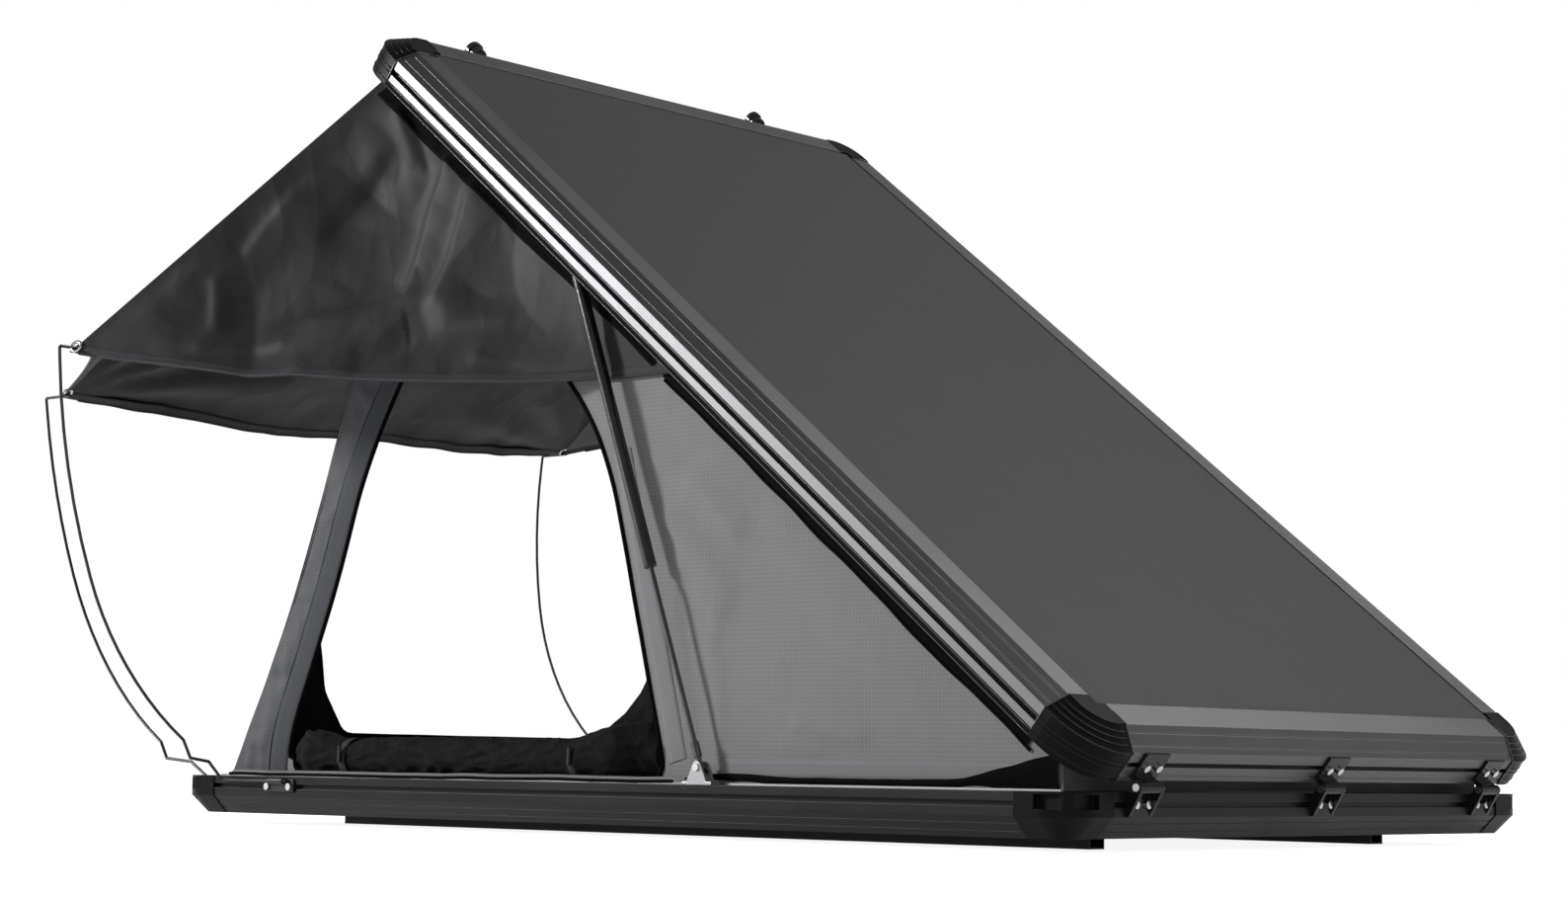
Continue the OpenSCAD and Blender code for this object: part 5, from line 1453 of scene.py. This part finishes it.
    def front(self, s: float, t: float) -> np.ndarray:
        """Shapes the awning's front.

        Args:
            s: the share from the near to the far side.
            t: the share from the lid to the hem.

        Returns:
            The point.
        """
        side = 1 - 2 * s
        low = self.ee + self.tip * unit(self.ee - self.pf)
        a = np.array([self.pf[0], self.pf[1] * side, self.pf[2]])
        b = np.array([low[0], low[1] * side, low[2]])
        hold = ease(0, 0.05, s) * ease(0, 0.05, 1 - s) * ease(0, 0.1, t)
        fold = 0.009 * math.sin(4 * math.pi * s) * math.sin(math.pi * s) * t - 0.018 * t * (1 - t)
        fold += hold * 0.006 * (crease(s * 1.6, t, 4.1, 0.2) - 0.6) + hold * 0.003 * ripple(s * 1.5, t, 8.0, 0.07)
        for x in (s, 1 - s):
            far = math.hypot(x * 1.4, (1 - t) * 1.0)
            fan = math.atan2((1 - t) * 1.0, x * 1.4 + 0.02) * 15 + 1.2 * ripple(x, t, 0.3, 0.3)
            fold += 0.013 * math.sin(fan) * math.exp(-2.0 * far) * ease(0.03, 0.25, far)
        sag = self.front_sag * math.sin(math.pi * s) * t * t
        return mix(a, b, t) - np.array([0, 0, sag]) + self.front_n * fold

    def gore(self, s: float, t: float) -> np.ndarray:
        """Shapes the near gore.

        Args:
            s: the share from the front to the wing.
            t: the share from the lid to the hem.

        Returns:
            The point.
        """
        k = t * (1 - 0.07 * math.sin(math.pi * s))
        edge = mix(self.front(0.0, k), self.wing(0.0, k), s)
        return edge - self.gore_n * math.sin(math.pi * s) * (0.009 * t + 0.004 * ripple(s, t, 3.0, 0.25))

    def grid(self, shape: Callable[[float, float], np.ndarray], nu: int, nv: int, flip: bool) -> np.ndarray:
        """Returns a panel's points on an even grid, mirrored to the far side if flip."""
        points = np.array([[shape(i / (nu - 1), j / (nv - 1)) for j in range(nv)] for i in range(nu)])
        return points * (1, -1, 1) if flip else points

    def hem(self, name: str, grid: np.ndarray, width: float = 0.022) -> bpy.types.Object:
        """Makes the doubled hem along a panel's last column.

        Args:
            name: the piece's name.
            grid: the panel's points.
            width: the hem's width in metres.

        Returns:
            The object.
        """
        edge, inner = grid[:, -1], grid[:, -3]
        up = inner - edge
        up /= np.linalg.norm(up, axis=1)[:, None]
        way = np.gradient(edge, axis=0)
        out = np.cross(way, up)
        out /= np.linalg.norm(out, axis=1)[:, None]
        line = edge + up * (width / 2 - 0.001)
        faces = []
        for sign in (1, -1):
            faces.append(band_piece(f"{name}_{sign}", line, up * sign, out * sign, width, "awning_band", 0.0014))
        faces.append(tube_piece(f"{name}_cord", edge[3:-3], 0.0032, "awning_band", 8))
        return join(name, faces)

    def welt(self, name: str, flip: bool) -> bpy.types.Object:
        """Makes the black welt along the wing's edge at the lid.

        Args:
            name: the piece's name.
            flip: whether it is mirrored to the far side.

        Returns:
            The object.
        """
        rows = []
        for s in np.linspace(0.02, 0.93, 150):
            shift = 0.0025 * ripple(s, 0.7, 0.1, 0.06)
            rows.append([self.wing(s, (d + shift) / self.drop(s)) + self.wing_n * lift for d, lift in (
                (0.020, -0.0004), (0.022, -0.0018), (0.036, -0.0022), (0.046, -0.0018), (0.048, -0.0030),
                (0.051, -0.0042), (0.054, -0.0030), (0.055, -0.0004))])
        grid = np.array(rows)
        return sheet_piece(name, grid * (1, -1, 1) if flip else grid, "black_binding")

    def eyelet(self, name: str, centre: np.ndarray, axis: np.ndarray) -> bpy.types.Object:
        """Makes a rolled metal eyelet.

        Args:
            name: the piece's name.
            centre: its middle.
            axis: the direction of its hole.

        Returns:
            The object.
        """
        axis = unit(axis)
        side = unit(np.cross(axis, (0.2, 0.3, 0.93)))
        up = np.cross(axis, side)
        rim = [(0.0072, -0.0012), (0.0066, 0.0), (0.0072, 0.0014), (0.0090, 0.0024), (0.0115, 0.0020), (0.0128, 0.0008),
               (0.0128, -0.0008), (0.0115, -0.0020), (0.0090, -0.0024)]
        grid = np.array([[centre + r * (math.cos(a) * side + math.sin(a) * up) + h * axis for r, h in rim]
                         for a in np.linspace(0, 2 * math.pi, 33)])
        return mesh_piece(name, grid.reshape(-1, 3), grid_faces(33, len(rim), True), grid_uv(grid), "bright_steel")

    def lining(self, name: str, grid: np.ndarray, inward: np.ndarray) -> bpy.types.Object:
        """Returns a sheet just inside a panel, its pale colour painted light on the panel's inner side."""
        return sheet_piece(name, grid + inward * self.coat, "awning_lining")

    def settle(self, panel: bpy.types.Object, body: str, flat: Tuple[float, float], trims: Sequence[bpy.types.Object],
               fall: Tuple[np.ndarray, np.ndarray, float]) -> None:
        """Declares a panel and lets it and its trims ride on their body and fall flat as the lid shuts.

        Args:
            panel: the cloth panel.
            body: the body that it stands for and rides on.
            flat: the size that it was cut to; not used.
            trims: hems and eyelets on it.
            fall: the direction in which it would flatten, a point that stays, and the share that is kept; not used.
        """
        axis, foot = (tuple(map(float, v)) for v in fall[:2])
        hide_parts(body)
        for piece in [panel] + list(trims):
            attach(piece, body)
            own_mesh(piece)
            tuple(axis)
            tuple(foot)
        LOG.info("%s: %.2f square metres", panel.name, area_of(panel))

    def build(self) -> None:
        """Makes the whole awning."""
        grid = self.grid(self.front, 110, 56, False)
        front = sheet_piece("awning_front_cloth", grid, "awning_cloth")
        trims = [self.hem("awning_front_hem", grid)]
        for side in Side:
            centre = self.ee * (1, 1 if side is Side.NEAR else -1, 1)
            trims.append(self.eyelet("front_eyelet_" + side.word, centre, self.front_n))
        self.settle(front, "awning_front", self.front_cut, trims,
                    (np.array((0.0, 1.0, 0.0)), np.zeros(3), self.front_draw))
        for side in Side:
            far, word = side is Side.FAR, side.word
            turn = (1, -1, 1) if far else (1, 1, 1)
            grid = self.grid(self.wing, 210, 116, far)
            wing = sheet_piece("awning_wing_cloth_" + word, grid, "awning_cloth")
            trims = [self.hem("awning_wing_hem_" + word, grid), self.welt("awning_welt_" + word, far),
                     self.eyelet("side_eyelet_" + word, self.se * turn, self.wing_n * turn)]
            self.settle(wing, "awning_wing_" + word, self.wing_cut, trims,
                        ((self.wing_n - self.wing_lift[far] * self.wing_t) * turn, self.pw * turn, self.kept))
            grid = self.grid(self.gore, 34, 56, far)
            gore = sheet_piece("awning_gore_cloth_" + word, grid, "awning_cloth")
            trims = [self.hem("awning_gore_hem_" + word, grid),
                     self.lining("awning_gore_lining_" + word, grid, -self.gore_n * turn)]
            self.settle(gore, "awning_gore_" + word, self.gore_cut, trims,
                        ((self.gore_n - self.gore_lift[far] * self.gore_t) * turn, self.pf * turn, self.kept))


@dataclass
class LidTrim:
    """The strips along the lid's lips, the ribs round its cast corners and the rails' cut edges."""

    leg: float = 0.105
    radius: float = 0.088
    proud: float = 0.002
    run: float = 0.0365
    face: float = 0.052
    high: float = 0.077
    strip: float = 0.0092
    slot: float = 0.0295
    slot_half: float = 0.0050
    slot_edge: float = 0.0020
    rib: float = 0.0012

    def lips(self) -> bpy.types.Object:
        """Makes the strips on both long rails, with dark strips beside the slot as painted shadow.

        Returns:
            The joined object.
        """
        made = []
        up = unit(SHELL.on_lid(1.0, 1.0, 0.0) - SHELL.on_lid(1.0, 0.0, 0.0))
        ends = SHELL.hinge_x - SHELL.half_length + self.leg, SHELL.hinge_x + SHELL.half_length - self.leg
        for side in Side:
            y = side.value * SHELL.half_width
            line = np.array([SHELL.on_lid(u, SHELL.lip + self.strip / 2, y) for u in np.linspace(*ends, 60)])
            out = np.tile((0.0, float(side.value), 0.0), (len(line), 1))
            across = np.tile(up * -side.value, (len(line), 1))
            made.append(band_piece("lip_" + side.word, line, across, out, self.strip, "seal_rubber", 0.0009))
            # painted shadow: dark strips either side of the slot widen its dark line
            for k in (-1, 1):
                middle = line + up * (self.slot - self.strip / 2 + k * self.slot_half)
                made.append(band_piece(f"slot_edge_{side.word}_{k}", middle, across, out, self.slot_edge,
                                       "seal_rubber", 0.0004))
            for k, v in enumerate((0.0006, self.strip)):
                middle = line + up * (v - self.strip / 2) + out * 0.0004
                made.append(tube_piece(f"lip_line_{side.word}_{k}", middle, 0.0008, "cut_edge", 6))
        return join("lid_lip_strips", made)

    def ribs(self) -> bpy.types.Object:
        """Makes the ribs round the four cast corners.

        Returns:
            The joined object.
        """
        made = []
        slope = (self.run + self.proud, self.high + self.proud / 2 - self.face)
        places = [(-self.proud + slope[0] * f, self.face + slope[1] * f) for f in (0.0, 0.27, 0.5, 0.73, 1.0)]
        places += [(-self.proud, z) for z in (0.0095, 0.0253, 0.0337)]
        for mx in (1, -1):
            for my in (1, -1):
                for k, (inward, z) in enumerate(places):
                    path = self.turn(inward)
                    line = np.array([SHELL.on_lid(SHELL.hinge_x - mx * x, SHELL.lip + z, my * y) for x, y in path])
                    made.append(tube_piece(f"rib_{mx}_{my}_{k}", line, self.rib, "casting_rib", 8))
        return join("lid_corner_ribs", made)

    def edges(self) -> bpy.types.Object:
        """Makes the cut edges where the rails meet the cast corners.

        Returns:
            The joined object.
        """
        made = []
        out = self.proud + 0.0002
        profile = [(-out, 0.010), (-out, self.face), (self.run, self.high + 0.0012),
                   (self.run + 0.030, self.high + 0.0012)]
        fine = resample(np.array(profile), 0.004)
        for mx in (1, -1):
            for my in (1, -1):
                for k in range(2):
                    line = []
                    for inward, z in fine:
                        x, y = SHELL.half_length - self.leg, SHELL.half_width - inward
                        if k:
                            x, y = SHELL.half_length - inward, SHELL.half_width - self.leg
                        line.append(SHELL.on_lid(SHELL.hinge_x - mx * x, SHELL.lip + z, my * y))
                    made.append(tube_piece(f"edge_{mx}_{my}_{k}", np.array(line), 0.0009, "cut_edge", 6))
        return join("lid_cut_edges", made)

    def turn(self, inward: float) -> List[Tuple[float, float]]:
        """Draws a rib's way round the near hinge corner of the shut lid.

        Args:
            inward: how far inside the rail's face it runs.

        Returns:
            Its points in x and y.
        """
        cx, cy = SHELL.half_length - self.radius, -SHELL.half_width + self.radius
        r = self.radius - inward
        arc = [(cx + r * math.sin(a), cy - r * math.cos(a)) for a in np.linspace(0, math.pi / 2, 24)]
        return [(SHELL.half_length - self.leg, cy - r)] + arc + [(cx + r, -SHELL.half_width + self.leg)]

    def build(self) -> None:
        """Makes the strips, ribs and cut edges."""
        for piece, slot in ((self.lips(), "seal_rubber"), (self.ribs(), "casting_black"),
                            (self.edges(), "bright_steel")):
            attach(piece, "lid")
            LOG.info("%s: %d points", piece.name, len(piece.data.vertices))


@dataclass
class Studio:
    """The camera, the soft lights, the white surroundings and the pale floor."""

    eye: Point = (3.7075, -4.2471, 0.1218)
    yaw: float = math.radians(132.028)
    pitch: float = math.radians(6.006)
    roll: float = math.radians(0.775)
    focal: float = 3051.67
    frame_width: float = 1588.0
    floor_half: float = 60.0
    floor_z: float = -0.0005

    def camera(self) -> None:
        """Sets the camera to the photograph's view."""
        fwd = np.array([math.cos(self.pitch) * math.cos(self.yaw), math.cos(self.pitch) * math.sin(self.yaw),
                        math.sin(self.pitch)])
        right = np.array([math.sin(self.yaw), -math.cos(self.yaw), 0.0])
        up = np.cross(right, fwd)
        c, s = math.cos(self.roll), math.sin(self.roll)
        turned, raised = c * right + s * up, -s * right + c * up
        data = bpy.data.cameras.new("photo_view")
        data.sensor_fit = "HORIZONTAL"
        data.sensor_width = 36.0
        data.lens = 36.0 * self.focal / self.frame_width
        data.clip_end = 200.0
        made = bpy.data.objects.new("photo_view", data)
        bpy.context.scene.collection.objects.link(made)
        made.matrix_world = Matrix([[turned[i], raised[i], -fwd[i], self.eye[i]] for i in range(3)] + [[0, 0, 0, 1]])
        bpy.context.scene.camera = made

    def lamp(self, name: str, place: Point, aim: Point, size: Tuple[float, float], power: float) -> None:
        """Adds a soft rectangular lamp.

        Args:
            name: the lamp's name.
            place: where it stands.
            aim: the point that it faces.
            size: its width and height.
            power: its power in watts.
        """
        data = bpy.data.lights.new(name, "AREA")
        data.shape = "RECTANGLE"
        data.size, data.size_y = size
        data.energy = power
        made = bpy.data.objects.new(name, data)
        bpy.context.scene.collection.objects.link(made)
        made.location = place
        made.rotation_euler = (Vector(aim) - Vector(place)).to_track_quat("-Z", "Y").to_euler()

    def surroundings(self) -> None:
        """Makes the world white to the camera and soft grey as a light."""
        world = bpy.data.worlds.new("studio")
        bpy.context.scene.world = world
        world.use_nodes = True
        net = Net(world.node_tree)
        path = net.make("ShaderNodeLightPath", {}, {})
        seen = Sock(net, path.outputs["Is Camera Ray"]).most(Sock(net, path.outputs["Is Transmission Ray"]))
        glint = Sock(net, path.outputs["Is Glossy Ray"])
        height = net.axes(net.node("ShaderNodeTexCoord", {}, {}, "Generated"))[2]
        mirrored = net.blend(height.step(0.05, 0.35), (0.9, 0.9, 0.9), (0.20, 0.202, 0.205))
        tone = net.blend(seen, net.blend(glint, (0.20, 0.201, 0.203), mirrored), (1.0, 1.0, 1.0))
        shade = net.make("ShaderNodeBackground", {}, {"Color": tone, "Strength": 1.0})
        net.make("ShaderNodeOutputWorld", {}, {0: Sock(net, shade.outputs[0])})

    def floor(self) -> None:
        """Lays the pale floor under the roof rails."""
        material = bpy.data.materials.new("pale_floor")
        material.use_nodes = True
        net = Net(material.node_tree)
        dust = net.cloud(0.8, 3.0)
        path = net.make("ShaderNodeLightPath", {}, {})
        seen = Sock(net, path.outputs["Is Camera Ray"]).most(Sock(net, path.outputs["Is Transmission Ray"]))
        seen = seen.most(Sock(net, path.outputs["Is Glossy Ray"]) * 0.35)
        shader = net.make("ShaderNodeBsdfPrincipled", {}, {
            "Base Color": net.blend(dust, (0.86, 0.86, 0.86), (0.90, 0.90, 0.90)), "Roughness": 0.9,
            "Specular IOR Level": 0.0, "Emission Color": net.blend(seen, (0, 0, 0), (0.90, 0.90, 0.90)),
            "Emission Strength": 1.0})
        net.make("ShaderNodeOutputMaterial", {}, {0: Sock(net, shader.outputs[0])})
        mesh = bpy.data.meshes.new("floor")
        half, low = self.floor_half, self.floor_z
        mesh.from_pydata([(-half, -half, low), (half, -half, low), (half, half, low), (-half, half, low)], [],
                         [(0, 1, 2, 3)])
        mesh.materials.append(material)
        made = bpy.data.objects.new("floor", mesh)
        bpy.context.scene.collection.objects.link(made)

    def build(self) -> None:
        """Sets up the whole studio."""
        bpy.context.scene.view_settings.view_transform = "Standard"
        self.camera()
        self.surroundings()
        self.floor()
        self.lamp("key", (-5.3, -5.6, 3.1), (-0.2, -0.5, 0.7), (1.2, 1.2), 560.0)
        self.lamp("top", (2.4, 3.2, 5.4), (0, 0, 0.7), (3.0, 3.0), 200.0)
        self.lamp("fill", (6.0, -1.0, 2.6), (0, 0, 0.6), (3.0, 3.0), 30.0)
        self.lamp("front", (4.6, -5.6, 1.3), (-0.4, 0, 0.7), (3.0, 2.0), 40.0)
        LOG.info("studio ready")


def main() -> None:
    """Builds every piece in order."""
    logging.basicConfig(level=logging.INFO, format="%(message)s")
    Studio().build()
    SHELL.dress()
    for side in Side:
        SideWall(side).build()
    EndWalls().build()
    rolls = [DoorRoll("side_roll_near", "door_roll_near", (-0.788, -0.620, 0.1313), 0.952, "x",
                      flare=(0.018, 0.034), tuck=0.034),
             DoorRoll("side_roll_far", "door_roll_far", (-0.788, 0.620, 0.1313), 0.952, "x",
                      flare=(0.018, 0.034), tuck=-0.034),
             DoorRoll("front_roll", "door_roll_front", (-0.882, -0.430, 0.1291), 0.860, "y", False)]
    loops: List[bpy.types.Object] = []
    for roll in rolls:
        roll.build()
        if roll.ties:
            loops += roll.tie_loops()
    ties = join("door_tie_loops", loops)
    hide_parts("door_ties")
    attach(ties, "base")
    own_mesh(ties)
    Mattress().build()
    Awning().build()
    LidTrim().build()


if __name__ == "__main__":
    main()
